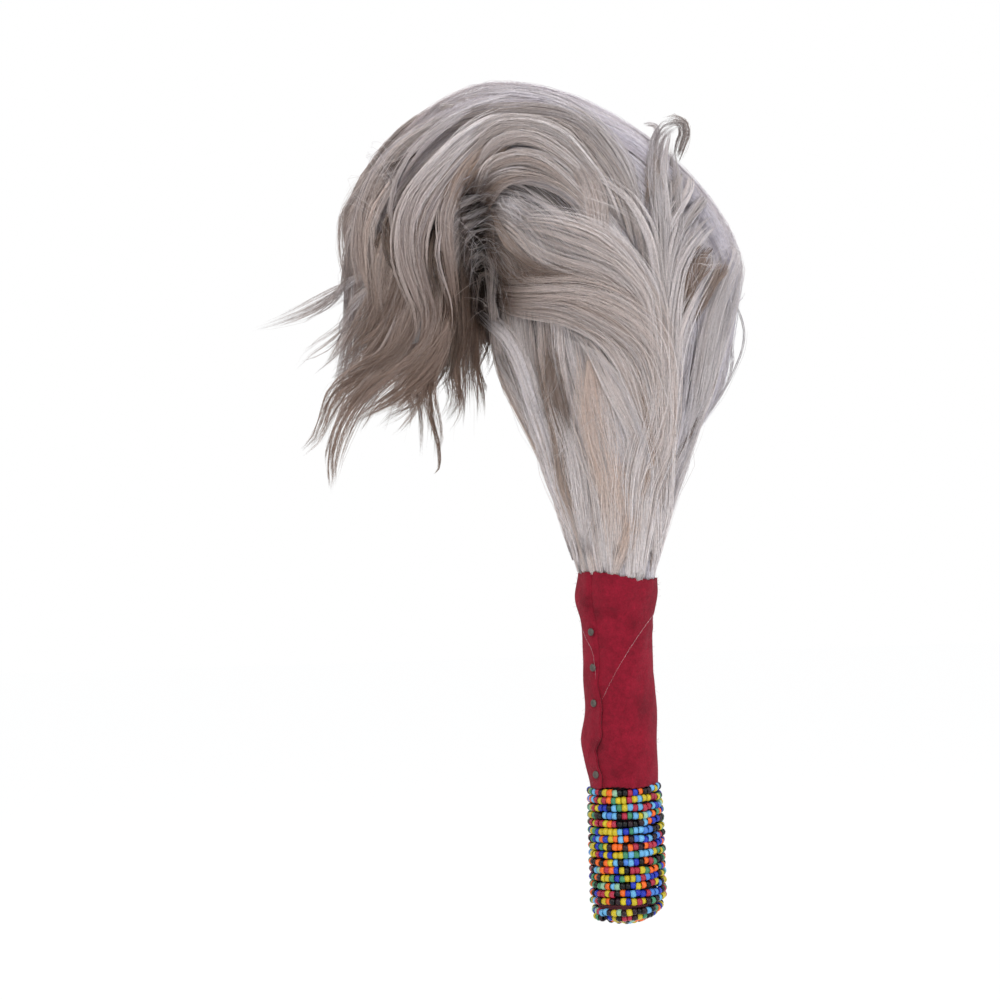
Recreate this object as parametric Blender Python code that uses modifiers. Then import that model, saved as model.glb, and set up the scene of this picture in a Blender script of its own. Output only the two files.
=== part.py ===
"""Beaded fly whisk: a wooden stick in a beaded cloth grip, with an animal tail nailed on under a cloth sleeve.

Units are metres. The origin is in the middle of the beaded grip, on the stick's axis, +Z runs along the
stick towards the hair, and the hair arches over and falls towards -X.
"""

import math

import bmesh
import bpy
from mathutils import Euler, Vector

MM = 0.001

# Clearances
FIT_GAP = 0.3 * MM  # between pieces that touch on the real whisk

# Beaded grip
BEAD_DIAMETER = 3.06 * MM
BEAD_ROWS = 15
GRIP_CORE_RADIUS = 12.0 * MM
UNDERLAY_THICKNESS = 0.6 * MM
BARE_BAND = 3.6 * MM  # underlay showing between the last row and the butt's outer ring
BUTT_DROP = 3.7 * MM  # how far the butt's beads dome down
BUTT_CORNER = 1.0 * MM

# Stick and tail hide inside the sleeve
UPPER_CORE_RADIUS = 10.6 * MM
CORE_SHOULDER = 2.0 * MM
STICK_REACH = 0.761  # height of the stick's end in the sleeve, as a share of its length
STICK_EDGE = 1.0 * MM
HIDE_THICKNESS = 2.2 * MM
HIDE_BELOW_MOUTH = 6.0 * MM
BINDING_TURNS = 3
BINDING_THREAD_DIAMETER = 0.9 * MM
BINDING_ABOVE_STICK = 3.6 * MM

# Cloth sleeve
SLEEVE_LENGTH = 91.6 * MM
SLEEVE_ABOVE_BEADS = 1.9 * MM
SLEEVE_TUCK = 4.0 * MM  # length of underlay that goes up into the sleeve
SLEEVE_CLOTH = 1.0 * MM
SLEEVE_WRAP_ANGLE = math.radians(400.0)
FLAP_EDGE_ANGLE = math.radians(37.0)  # from the front towards -X
MOUTH_SLOPE = -0.17
MOUTH_CLEARANCE = 1.0 * MM  # height by which the hair clears the mouth's high side before it spreads
# Ease between hide and cloth at shares of the sleeve's length, from its foot to its mouth
SLEEVE_EASE = ((0.0, 0.9 * MM), (0.33, 0.9 * MM), (0.6, 0.6 * MM), (0.74, 0.9 * MM),
               (0.81, 1.8 * MM), (0.88, 2.5 * MM), (1.0, 3.3 * MM))
FLAP_BULGE = 2.2 * MM
LOWER_BULGE_HEIGHT = 20.0 * MM
UPPER_BULGE_HEIGHT = 81.0 * MM
BULGE_REACH = 9.0 * MM
BULGE_ANGLE = math.radians(88.0)
BULGE_SPREAD = math.radians(24.0)

# Tacks along the sleeve's seam: the fourth place of five is empty
TACK_ANGLE = math.radians(48.0)
TACK_FOOT = 0.0633  # height of the lowest tack, as a share of the sleeve's length
TACK_PITCH = 0.1681  # as a share of the sleeve's length
TACK_PLACES = (0, 2, 3, 4)
TACK_HEAD_RADIUS = 1.75 * MM
TACK_HEAD_HEIGHT = 0.9 * MM
TACK_SHANK_RADIUS = 0.6 * MM
TACK_BITE = 6.0 * MM  # length of shank in the wood

# Hair
ROOT_ABOVE_MOUTH = 28.0 * MM
ROOT_TOP_RADIUS = 22.6 * MM
ROOT_FLARE = 2.0 * MM  # height over which the root spreads from the hide's bore to the sleeve's
TAIL_HEIGHT = 188.4 * MM  # from the root's top to the crown
TAIL_DEPTH = 46.0 * MM  # half of the crown's size from front to back
BUNDLE_COUNT = 5
BUNDLE_GROOVE = 0.12
WISP_RADIUS = 2.2 * MM

# Mesh fineness
TURNED_STEPS = 24
RING_STEPS = 20
BEAD_STEPS = 6
SHANK_STEPS = 12
SLEEVE_STEPS = (36, 10)

# Sizes that follow
BEAD_RADIUS = BEAD_DIAMETER / 2
BEAD_PITCH = BEAD_DIAMETER + FIT_GAP
UNDERLAY_RADIUS = GRIP_CORE_RADIUS + FIT_GAP + UNDERLAY_THICKNESS
RING_RADIUS = UNDERLAY_RADIUS + FIT_GAP + BEAD_RADIUS
TOP_ROW_Z = BEAD_PITCH * (BEAD_ROWS - 1) / 2
BUTT_START_Z = -TOP_ROW_Z - BEAD_RADIUS - BARE_BAND
SLEEVE_FOOT_Z = TOP_ROW_Z + BEAD_RADIUS + SLEEVE_ABOVE_BEADS
SLEEVE_MOUTH_Z = SLEEVE_FOOT_Z + SLEEVE_LENGTH
STICK_TOP_Z = SLEEVE_FOOT_Z + STICK_REACH * SLEEVE_LENGTH
UNDERLAY_TOP_Z = SLEEVE_FOOT_Z + SLEEVE_TUCK
SHOULDER_Z = UNDERLAY_TOP_Z + CORE_SHOULDER
HIDE_FOOT_Z = SHOULDER_Z + CORE_SHOULDER
HIDE_TOP_Z = SLEEVE_MOUTH_Z - HIDE_BELOW_MOUTH
HIDE_BORE = UPPER_CORE_RADIUS + FIT_GAP
HIDE_RADIUS = HIDE_BORE + HIDE_THICKNESS
FLAP_LIFT = SLEEVE_CLOTH + FIT_GAP
ROOT_TOP_Z = SLEEVE_MOUTH_Z + ROOT_ABOVE_MOUTH

BEAD_COLOURS = ((0.60, 0.46, 0.03), (0.03, 0.04, 0.32), (0.80, 0.16, 0.02), (0.08, 0.27, 0.15),
                (0.30, 0.02, 0.05), (0.10, 0.28, 0.62), (0.02, 0.02, 0.02))
HAIR_COLOURS = ((0.50, 0.45, 0.42), (0.45, 0.39, 0.34), (0.39, 0.33, 0.28), (0.34, 0.28, 0.23),
                (0.27, 0.21, 0.17))

# The arch of hair, as pairs of points on its outer and inner edge in shares of TAIL_HEIGHT above the root
ARCH_RUNGS = (
    ((0.189, 0.156), (-0.170, 0.121)),
    ((0.239, 0.247), (-0.201, 0.215)),
    ((0.272, 0.355), (-0.244, 0.292)),
    ((0.305, 0.465), (-0.265, 0.372)),
    ((0.308, 0.570), (-0.273, 0.441)),
    ((0.246, 0.700), (-0.273, 0.494)),
    ((0.118, 0.838), (-0.273, 0.531)),
    ((-0.032, 0.929), (-0.276, 0.558)),
    ((-0.211, 0.995), (-0.287, 0.573)),
    ((-0.374, 0.960), (-0.300, 0.563)),
    ((-0.499, 0.860), (-0.311, 0.536)),
    ((-0.579, 0.722), (-0.318, 0.499)),
    ((-0.602, 0.579), (-0.324, 0.446)),
    ((-0.602, 0.430), (-0.326, 0.372)),
    ((-0.621, 0.287), (-0.324, 0.292)),
)
# Half depth of the arch at the root and at each rung, in shares of TAIL_DEPTH
ARCH_DEPTHS = (0.60, 0.69, 0.78, 0.86, 0.93, 0.98, 1.0, 1.0, 0.98, 0.96, 0.94, 0.90, 0.84, 0.76, 0.66)
# How far each bundle's tip hangs below the last rung, in shares of TAIL_HEIGHT, outer bundle first
TIP_DROPS = (0.10, 0.07, 0.11, 0.16, 0.08)
ARCH_STATIONS = 26

# Wisps that lie on the outer edge and leave it: rung where each starts and where it lifts off, its size, and
# its run from there in shares of TAIL_HEIGHT
WISPS = (
    ("side_wisp_1", 11.9, 12.2, 1.0, ((-0.06, -0.06), (-0.12, -0.10), (-0.21, -0.127))),
    ("side_wisp_2", 13.0, 13.3, 0.8, ((-0.03, -0.05), (-0.07, -0.09), (-0.10, -0.13))),
    ("side_wisp_3", 14.0, 14.3, 0.8, ((-0.02, -0.06), (-0.05, -0.12), (-0.08, -0.17))),
    ("top_tuft", 6.6, 6.9, 1.2, ((0.010, 0.045), (0.045, 0.065), (0.066, 0.028))),
)
WISP_START_SHARE = 0.35  # thickness of a wisp's start against its thickest place
WISP_LIFT = 0.9 * MM  # clearance where a wisp starts to leave the bundle


def clear_scene():
    for obj in list(bpy.data.objects):
        bpy.data.objects.remove(obj, do_unlink=True)


def make_collection(name):
    collection = bpy.data.collections.new(name)
    bpy.context.scene.collection.children.link(collection)
    return collection


def make_material(name, colour, roughness, metallic=0.0):
    material = bpy.data.materials.new(name)
    material.use_nodes = True
    shader = material.node_tree.nodes["Principled BSDF"]
    shader.inputs["Base Color"].default_value = (*colour, 1.0)
    shader.inputs["Roughness"].default_value = roughness
    shader.inputs["Metallic"].default_value = metallic
    return material


def add_object(name, data, collection, material=None):
    obj = bpy.data.objects.new(name, data)
    collection.objects.link(obj)
    if material is not None:
        data.materials.append(material)
    return obj


def shade_round(mesh, crease=math.radians(50.0)):
    mesh.shade_smooth()
    mesh.set_sharp_from_angle(angle=crease)


def smooth_steps(points, position):
    """Point at a fractional position along a list of points, on a curve that runs smoothly through them all."""
    last = len(points) - 1
    index = min(int(position), last - 1)
    t = position - index
    before, start, end, after = (points[min(max(index + k, 0), last)] for k in (-1, 0, 1, 2))
    return tuple(
        0.5 * (2 * b + (c - a) * t + (2 * a - 5 * b + 4 * c - d) * t * t + (3 * b - a - 3 * c + d) * t ** 3)
        for a, b, c, d in zip(before, start, end, after)
    )


def straight_steps(pairs, at):
    """Value at a place along (place, value) pairs, straight between them."""
    for (low, first), (high, second) in zip(pairs, pairs[1:]):
        if at <= high:
            return first + (second - first) * (at - low) / (high - low)
    return pairs[-1][1]


def turned(name, profile, collection, material, steps=TURNED_STEPS, closed=False):
    """A solid turned about Z from (radius, height) points, down the outer side."""
    mesh = bpy.data.meshes.new(name)
    edges = [(i, i + 1) for i in range(len(profile) - 1)]
    if closed:
        edges.append((len(profile) - 1, 0))
    mesh.from_pydata([(radius, 0.0, height) for radius, height in profile], edges, [])
    obj = add_object(name, mesh, collection, material)
    screw = obj.modifiers.new("Turn", "SCREW")
    screw.steps = steps
    screw.render_steps = steps
    screw.use_merge_vertices = True
    screw.merge_threshold = 0.00001
    screw.use_smooth_shade = True
    return obj


def butt_curve(offset):
    """The butt's dome from the axis outwards, the given distance inside the path of the bead centres."""
    points = []
    for step in range(13):
        turn = math.radians(90.0 - 6.0 * step)
        along, down = RING_RADIUS * math.cos(turn), BUTT_DROP * math.sin(turn)
        normal_r, normal_z = BUTT_DROP * math.cos(turn), RING_RADIUS * math.sin(turn)
        size = math.hypot(normal_r, normal_z)
        radius = along - offset * normal_r / size
        if radius > RING_RADIUS - offset - FIT_GAP / 3:
            break
        points.append((max(radius, 0.0), BUTT_START_Z - down + offset * normal_z / size))
    return points


def make_wood_core(parts):
    offset = RING_RADIUS - GRIP_CORE_RADIUS
    dome = butt_curve(offset)
    wall_z = dome[-1][1] + BUTT_CORNER
    profile = [
        (0.0, STICK_TOP_Z),
        (UPPER_CORE_RADIUS - STICK_EDGE, STICK_TOP_Z),
        (UPPER_CORE_RADIUS, STICK_TOP_Z - STICK_EDGE),
        (UPPER_CORE_RADIUS, SHOULDER_Z + CORE_SHOULDER / 2),
        (GRIP_CORE_RADIUS, SHOULDER_Z),
        (GRIP_CORE_RADIUS, wall_z),
    ] + dome[::-1]
    wood = make_material("wood", (0.33, 0.20, 0.10), 0.7)
    return turned("wood_core", profile, parts, wood)


def make_bead_underlay(parts):
    outer = butt_curve(RING_RADIUS - UNDERLAY_RADIUS)
    inner = butt_curve(RING_RADIUS - UNDERLAY_RADIUS + UNDERLAY_THICKNESS)
    bore = UNDERLAY_RADIUS - UNDERLAY_THICKNESS
    profile = [(bore, UNDERLAY_TOP_Z), (UNDERLAY_RADIUS, UNDERLAY_TOP_Z),
               (UNDERLAY_RADIUS, outer[-1][1] + BUTT_CORNER)]
    profile += outer[::-1] + inner
    profile.append((bore, inner[-1][1] + BUTT_CORNER))
    cloth = make_material("maroon_cloth", (0.10, 0.015, 0.02), 0.9)
    return turned("bead_underlay", profile, parts, cloth, closed=True)


def add_bead_ring(name, radius, height, parts, colour):
    bpy.ops.mesh.primitive_torus_add(
        major_segments=RING_STEPS, minor_segments=BEAD_STEPS,
        major_radius=radius, minor_radius=BEAD_RADIUS, location=(0.0, 0.0, height),
    )
    ring = bpy.context.object
    ring.name = name
    ring.data.name = name
    for collection in list(ring.users_collection):
        collection.objects.unlink(ring)
    parts.objects.link(ring)
    ring.data.materials.append(make_material(name + "_glass", colour, 0.12))
    ring.data.shade_smooth()
    return ring


def make_bead_rows(parts):
    for row in range(BEAD_ROWS):
        height = TOP_ROW_Z - BEAD_PITCH * row
        colour = BEAD_COLOURS[row % len(BEAD_COLOURS)]
        add_bead_ring(f"bead_row_{row + 1:02d}", RING_RADIUS, height, parts, colour)


def make_butt_rings(parts):
    """Rings of beads that close the butt, a bead apart along its dome."""
    steps = 400
    path = [(RING_RADIUS * math.cos(math.pi / 2 * i / steps), BUTT_DROP * math.sin(math.pi / 2 * i / steps))
            for i in range(steps + 1)]
    innermost = BEAD_RADIUS + FIT_GAP
    path = [point for point in path if point[0] >= innermost]
    lengths = [0.0]
    for first, second in zip(path, path[1:]):
        lengths.append(lengths[-1] + math.dist(first, second))
    ring_steps = max(1, int(lengths[-1] / BEAD_PITCH))
    for ring in range(ring_steps + 1):
        wanted = lengths[-1] * ring / ring_steps
        nearest = min(range(len(path)), key=lambda i: abs(lengths[i] - wanted))
        radius, down = path[nearest]
        colour = BEAD_COLOURS[(ring * 3 + 1) % len(BEAD_COLOURS)]
        add_bead_ring(f"butt_bead_ring_{ring + 1}", radius, BUTT_START_Z - down, parts, colour)


def make_tail_hide(parts):
    edge = HIDE_THICKNESS / 4
    profile = [
        (HIDE_BORE, HIDE_TOP_Z), (HIDE_RADIUS - edge, HIDE_TOP_Z), (HIDE_RADIUS, HIDE_TOP_Z - edge),
        (HIDE_RADIUS, HIDE_FOOT_Z + edge), (HIDE_RADIUS - edge, HIDE_FOOT_Z), (HIDE_BORE, HIDE_FOOT_Z),
    ]
    hide = make_material("rawhide", (0.42, 0.33, 0.23), 0.75)
    return turned("tail_hide", profile, parts, hide, closed=True)


def make_root_binding(parts):
    """Thread wound round the hide just above the stick's end."""
    thread_radius = BINDING_THREAD_DIAMETER / 2
    radius = HIDE_RADIUS + FIT_GAP + thread_radius
    start = STICK_TOP_Z + BINDING_ABOVE_STICK
    pitch = BINDING_THREAD_DIAMETER + FIT_GAP
    steps = 16
    curve = bpy.data.curves.new("root_binding", "CURVE")
    curve.dimensions = "3D"
    curve.bevel_depth = thread_radius
    curve.bevel_resolution = 1
    curve.use_fill_caps = True
    spline = curve.splines.new("POLY")
    spline.points.add(BINDING_TURNS * steps)
    for i, point in enumerate(spline.points):
        turn = 2 * math.pi * i / steps
        point.co = (radius * math.sin(turn), radius * math.cos(turn), start + pitch * i / steps, 1.0)
    return add_object("root_binding", curve, parts, make_material("sinew_thread", (0.30, 0.24, 0.16), 0.8))


def sleeve_height(z):
    return (z - SLEEVE_FOOT_Z) / SLEEVE_LENGTH


def sleeve_radius(angle, z):
    """Radius of the middle of the cloth, for an angle from the front through the left side and on round."""
    radius = HIDE_RADIUS + straight_steps(SLEEVE_EASE, sleeve_height(z)) + SLEEVE_CLOTH / 2
    past = (angle - TACK_ANGLE - math.radians(28.0)) / math.radians(34.0)
    lift = FLAP_LIFT * (1.0 - min(max(past, 0.0), 1.0))
    bulge = 0.0
    for height in (LOWER_BULGE_HEIGHT, UPPER_BULGE_HEIGHT):
        rise = (z - SLEEVE_FOOT_Z - height) / BULGE_REACH
        turn = (angle - BULGE_ANGLE) / BULGE_SPREAD
        bulge += FLAP_BULGE * math.exp(-rise * rise - turn * turn)
    return radius + lift + bulge


def side_point(angle, radius, z):
    """A point at an angle from the front (-Y) towards the left (-X)."""
    return Vector((-radius * math.sin(angle), -radius * math.cos(angle), z))


def make_sleeve_wrap(parts):
    bpy.ops.mesh.primitive_grid_add(x_subdivisions=SLEEVE_STEPS[0], y_subdivisions=SLEEVE_STEPS[1], size=2.0)
    sleeve = bpy.context.object
    sleeve.name = "sleeve_wrap"
    sleeve.data.name = "sleeve_wrap"
    for collection in list(sleeve.users_collection):
        collection.objects.unlink(sleeve)
    parts.objects.link(sleeve)
    for vertex in sleeve.data.vertices:
        share, rise = (vertex.co.x + 1) / 2, (vertex.co.y + 1) / 2
        wave = math.radians(2.5) * math.sin(rise * 17.0 + 1.0) * (1.0 - share) ** 4
        angle = FLAP_EDGE_ANGLE + SLEEVE_WRAP_ANGLE * share + wave
        mouth_x = -(HIDE_RADIUS + SLEEVE_CLOTH) * math.sin(angle)
        top = SLEEVE_MOUTH_Z + MOUTH_SLOPE * mouth_x
        z = SLEEVE_FOOT_Z + (top - SLEEVE_FOOT_Z) * rise
        vertex.co = side_point(angle, sleeve_radius(angle, z), z)
    sleeve.data.materials.append(make_material("red_felt", (0.30, 0.018, 0.035), 0.9))
    solid = sleeve.modifiers.new("Cloth", "SOLIDIFY")
    solid.thickness = SLEEVE_CLOTH
    solid.offset = 0.0
    solid.use_even_offset = True
    shade_round(sleeve.data)
    return sleeve


def tack_heights():
    return [SLEEVE_FOOT_Z + SLEEVE_LENGTH * (TACK_FOOT + TACK_PITCH * place) for place in TACK_PLACES]


def tack_seat(z):
    """Radius under a tack's head, clear of the cloth all round it."""
    under = max(sleeve_radius(TACK_ANGLE, z + shift) for shift in (-TACK_HEAD_RADIUS, 0.0, TACK_HEAD_RADIUS))
    return under + SLEEVE_CLOTH / 2 + FIT_GAP


def make_seam_tacks(parts):
    """Short tacks with domed heads, through both cloth layers and the hide into the stick."""
    iron = make_material("tack_iron", (0.16, 0.14, 0.12), 0.5, 1.0)
    for number, z in enumerate(tack_heights(), 1):
        seat = tack_seat(z)
        length = seat - UPPER_CORE_RADIUS + TACK_BITE
        profile = [
            (0.0, TACK_HEAD_HEIGHT),
            (TACK_HEAD_RADIUS * 0.55, TACK_HEAD_HEIGHT * 0.86),
            (TACK_HEAD_RADIUS * 0.9, TACK_HEAD_HEIGHT * 0.5),
            (TACK_HEAD_RADIUS, TACK_HEAD_HEIGHT * 0.2),
            (TACK_HEAD_RADIUS * 0.95, 0.0),
            (TACK_SHANK_RADIUS, 0.0),
            (TACK_SHANK_RADIUS, -length + 2 * TACK_SHANK_RADIUS),
            (0.0, -length),
        ]
        tack = turned(f"seam_tack_{number}", profile, parts, iron, steps=SHANK_STEPS)
        tack.location = side_point(TACK_ANGLE, seat, z)
        tack.rotation_euler = Euler((math.pi / 2, 0.0, -TACK_ANGLE))


def cut_tack_holes(pieces, cutters):
    radius = TACK_SHANK_RADIUS + FIT_GAP
    inner = UPPER_CORE_RADIUS - TACK_BITE - FIT_GAP
    for number, z in enumerate(tack_heights(), 1):
        outer = tack_seat(z) + TACK_HEAD_HEIGHT
        mesh = bpy.data.meshes.new(f"tack_hole_{number}")
        form = bmesh.new()
        bmesh.ops.create_cone(form, cap_ends=True, segments=SHANK_STEPS, radius1=radius, radius2=radius,
                              depth=outer - inner)
        form.to_mesh(mesh)
        form.free()
        cutter = add_object(f"tack_hole_{number}", mesh, cutters)
        cutter.location = side_point(TACK_ANGLE, (outer + inner) / 2, z)
        cutter.rotation_euler = Euler((math.pi / 2, 0.0, -TACK_ANGLE))
        cutter.hide_render = True
        cutter.display_type = "WIRE"
        for piece in pieces:
            cut = piece.modifiers.new(f"Tack hole {number}", "BOOLEAN")
            cut.operation = "DIFFERENCE"
            cut.solver = "EXACT"
            cut.object = cutter


def make_hair_root(parts):
    """Hair as it leaves the hide, packed in the sleeve's mouth and opening above it."""
    neck = HIDE_BORE - FIT_GAP
    mouth_rise = -MOUTH_SLOPE * (HIDE_RADIUS + SLEEVE_CLOTH) + MOUTH_CLEARANCE
    mouth = HIDE_RADIUS + SLEEVE_EASE[-1][1] - FIT_GAP
    above = SLEEVE_MOUTH_Z + mouth_rise
    profile = [
        (0.0, ROOT_TOP_Z),
        (ROOT_TOP_RADIUS, ROOT_TOP_Z),
        (mouth + (ROOT_TOP_RADIUS - mouth) * 0.62, above + (ROOT_TOP_Z - above) * 0.5),
        (mouth + (ROOT_TOP_RADIUS - mouth) * 0.22, above + (ROOT_TOP_Z - above) * 0.12),
        (mouth, above),
        (mouth - ROOT_FLARE / 2, HIDE_TOP_Z + ROOT_FLARE),
        (neck, HIDE_TOP_Z + FIT_GAP),
        (neck, STICK_TOP_Z + FIT_GAP),
        (0.0, STICK_TOP_Z + FIT_GAP),
    ]
    return turned("hair_root", profile, parts, make_material("pale_hair", (0.55, 0.49, 0.45), 0.6))


def arch_stations():
    """Outer and inner point and half depth of sections along the arch, in metres from the sway pivot."""
    root = (ROOT_TOP_RADIUS, ROOT_ABOVE_MOUTH + FIT_GAP, -ROOT_TOP_RADIUS, ROOT_ABOVE_MOUTH + FIT_GAP,
            ROOT_TOP_RADIUS)
    rungs = [root]
    for ((outer_x, outer_z), (inner_x, inner_z)), depth in zip(ARCH_RUNGS, ARCH_DEPTHS):
        rungs.append((TAIL_HEIGHT * outer_x, ROOT_ABOVE_MOUTH + TAIL_HEIGHT * outer_z,
                      TAIL_HEIGHT * inner_x, ROOT_ABOVE_MOUTH + TAIL_HEIGHT * inner_z, TAIL_DEPTH * depth))
    last = len(rungs) - 1
    return [smooth_steps(rungs, last * i / (ARCH_STATIONS - 1)) for i in range(ARCH_STATIONS)]


def edge_point(stations, rung, clearance):
    """A point beside the outer edge of the arch, level with a rung."""
    position = rung / len(ARCH_RUNGS) * (len(stations) - 1)
    index = min(int(position), len(stations) - 2)
    first, second = stations[index], stations[index + 1]
    start, end = Vector((first[0], 0, first[1])), Vector((second[0], 0, second[1]))
    along = (end - start).normalized()
    outward = Vector((along.z, 0, -along.x))
    return start.lerp(end, position - index) + outward * clearance


def bundle_ring(rung, low, high, fullness):
    """One closed section of a bundle: a slice of the arch's oval section, crowned so that bundles show."""
    outer, inner, depth = Vector((rung[0], 0, rung[1])), Vector((rung[2], 0, rung[3])), rung[4]
    middle, half = (outer + inner) / 2, (outer - inner) / 2
    slit = FIT_GAP / 2 / half.length
    first, last = low + slit, high - slit
    centre, reach = (first + last) / 2, (last - first) / 2
    front, back = [], []
    for step in (-1.0, -0.5, 0.0, 0.5, 1.0):
        across = centre + reach * step * fullness
        crown = 1.0 - BUNDLE_GROOVE * step * step
        thickness = depth * max(math.sqrt(max(1.0 - across * across, 0.0)), 0.12) * crown * fullness
        point = middle + half * across
        front.append(point + Vector((0, -thickness, 0)))
        back.append(point + Vector((0, thickness, 0)))
    return front + back[::-1]


def loft(name, rings, parts, material):
    """A closed body through rings that have as many points as each other."""
    form = bmesh.new()
    loops = [[form.verts.new(point) for point in ring] for ring in rings]
    count = len(rings[0])
    for lower, upper in zip(loops, loops[1:]):
        for i in range(count):
            form.faces.new((lower[i], lower[(i + 1) % count], upper[(i + 1) % count], upper[i]))
    form.faces.new(loops[0][::-1])
    form.faces.new(loops[-1])
    bmesh.ops.recalc_face_normals(form, faces=form.faces)
    mesh = bpy.data.meshes.new(name)
    form.to_mesh(mesh)
    form.free()
    shade_round(mesh)
    return add_object(name, mesh, parts, material)


def make_hair_bundles(parts, pivot):
    """The arch of hair as nested bundles, from the outermost to the one round the hollow."""
    stations = arch_stations()
    for number in range(BUNDLE_COUNT):
        high = 1.0 - 2.0 * number / BUNDLE_COUNT
        low = high - 2.0 / BUNDLE_COUNT
        rings = [bundle_ring(station, low, high, 1.0) for station in stations]
        drop = TAIL_HEIGHT * TIP_DROPS[number % len(TIP_DROPS)]
        for share, fullness in ((0.5, 0.62), (1.0, 0.10)):
            fall = Vector((0, 0, -drop * share))
            rings.append([point + fall for point in bundle_ring(stations[-1], low, high, fullness)])
        colour = HAIR_COLOURS[number % len(HAIR_COLOURS)]
        hair = make_material(f"hair_shade_{number + 1}", colour, 0.6)
        bundle = loft(f"hair_bundle_{number + 1}", rings, parts, hair)
        bundle.parent = pivot


def make_wisps(parts, pivot):
    stations = arch_stations()
    tips = make_material("tip_hair", (0.22, 0.17, 0.14), 0.6)
    for name, start, lift_off, size, run in WISPS:
        radius = WISP_RADIUS * size
        at_lift_off = (1.0 + WISP_START_SHARE) / 2
        leave = edge_point(stations, lift_off, radius * at_lift_off + WISP_LIFT)
        stops = [tuple(edge_point(stations, start, radius * WISP_START_SHARE + 2 * FIT_GAP)), tuple(leave)]
        stops += [tuple(leave + TAIL_HEIGHT * Vector((x, 0, z))) for x, z in run]
        steps = 3 * (len(stops) - 1)
        curve = bpy.data.curves.new(name, "CURVE")
        curve.dimensions = "3D"
        curve.bevel_depth = radius
        curve.bevel_resolution = 2
        curve.use_fill_caps = True
        spline = curve.splines.new("POLY")
        spline.points.add(steps)
        for i, point in enumerate(spline.points):
            place = (len(stops) - 1) * i / steps
            point.co = (*smooth_steps(stops, place), 1.0)
            swell = WISP_START_SHARE + (1.0 - WISP_START_SHARE) * min(place / 2, 1.0)
            point.radius = swell * (1.0 - 0.88 * (i / steps) ** 2)
        wisp = add_object(name, curve, parts, tips)
        wisp.parent = pivot


def main():
    clear_scene()
    parts = make_collection("fly_whisk")
    cutters = make_collection("cutters")
    pivot = bpy.data.objects.new("tail_sway_pivot", None)
    pivot.location = (0.0, 0.0, SLEEVE_MOUTH_Z)
    parts.objects.link(pivot)

    core = make_wood_core(parts)
    make_bead_underlay(parts)
    make_bead_rows(parts)
    make_butt_rings(parts)
    hide = make_tail_hide(parts)
    make_root_binding(parts)
    sleeve = make_sleeve_wrap(parts)
    make_seam_tacks(parts)
    cut_tack_holes((core, hide, sleeve), cutters)
    make_hair_root(parts)
    make_hair_bundles(parts, pivot)
    make_wisps(parts, pivot)


main()
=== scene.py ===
import math

import bmesh
import bpy
import numpy as np
from bpy.props import FloatProperty, FloatVectorProperty, IntProperty, PointerProperty
from mathutils import Matrix, Vector
from mathutils.bvhtree import BVHTree


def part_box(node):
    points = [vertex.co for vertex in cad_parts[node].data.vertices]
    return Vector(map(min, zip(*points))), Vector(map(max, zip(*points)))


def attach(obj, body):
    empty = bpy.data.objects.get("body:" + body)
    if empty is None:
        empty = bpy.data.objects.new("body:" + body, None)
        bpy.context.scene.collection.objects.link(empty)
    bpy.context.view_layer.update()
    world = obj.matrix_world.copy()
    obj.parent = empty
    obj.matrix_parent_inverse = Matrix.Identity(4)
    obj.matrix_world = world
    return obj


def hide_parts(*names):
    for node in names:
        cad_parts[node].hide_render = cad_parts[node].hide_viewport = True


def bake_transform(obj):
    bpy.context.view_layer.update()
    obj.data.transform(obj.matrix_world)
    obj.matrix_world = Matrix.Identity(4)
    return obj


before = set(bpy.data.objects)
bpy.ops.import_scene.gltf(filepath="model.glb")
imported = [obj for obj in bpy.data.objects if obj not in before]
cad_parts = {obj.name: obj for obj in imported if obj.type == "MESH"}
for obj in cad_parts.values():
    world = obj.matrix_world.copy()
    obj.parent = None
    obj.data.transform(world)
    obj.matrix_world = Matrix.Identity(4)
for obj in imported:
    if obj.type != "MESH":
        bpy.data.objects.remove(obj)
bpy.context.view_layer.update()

bl_info = {
    "name": "Beaded Fly Whisk",
    "version": (1, 0, 0),
    "blender": (4, 5, 0),
    "location": "3D View > Sidebar > Fly Whisk",
    "description": "Dresses the whisk's solids with glass beads, a felt sleeve and a head of long hair",
    "category": "Object",
}

MM = 0.001
PIXEL = MM / 2.3  # size of a pixel of the photograph in the plane of the stick
CAMERA_DISTANCE = 1.45
PICTURE_CENTRE = Vector((-49.93 * MM, 0.0, 152.5 * MM))
PICTURE_RIGHT = Vector((0.9995, 0.0, -0.032)).normalized()
PICTURE_UP = Vector((0.032, 0.0, 0.9995)).normalized()

MOUTH_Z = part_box("sleeve_wrap")[1].z - 2.7 * MM  # height of the sleeve's mouth over the stick's axis

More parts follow.
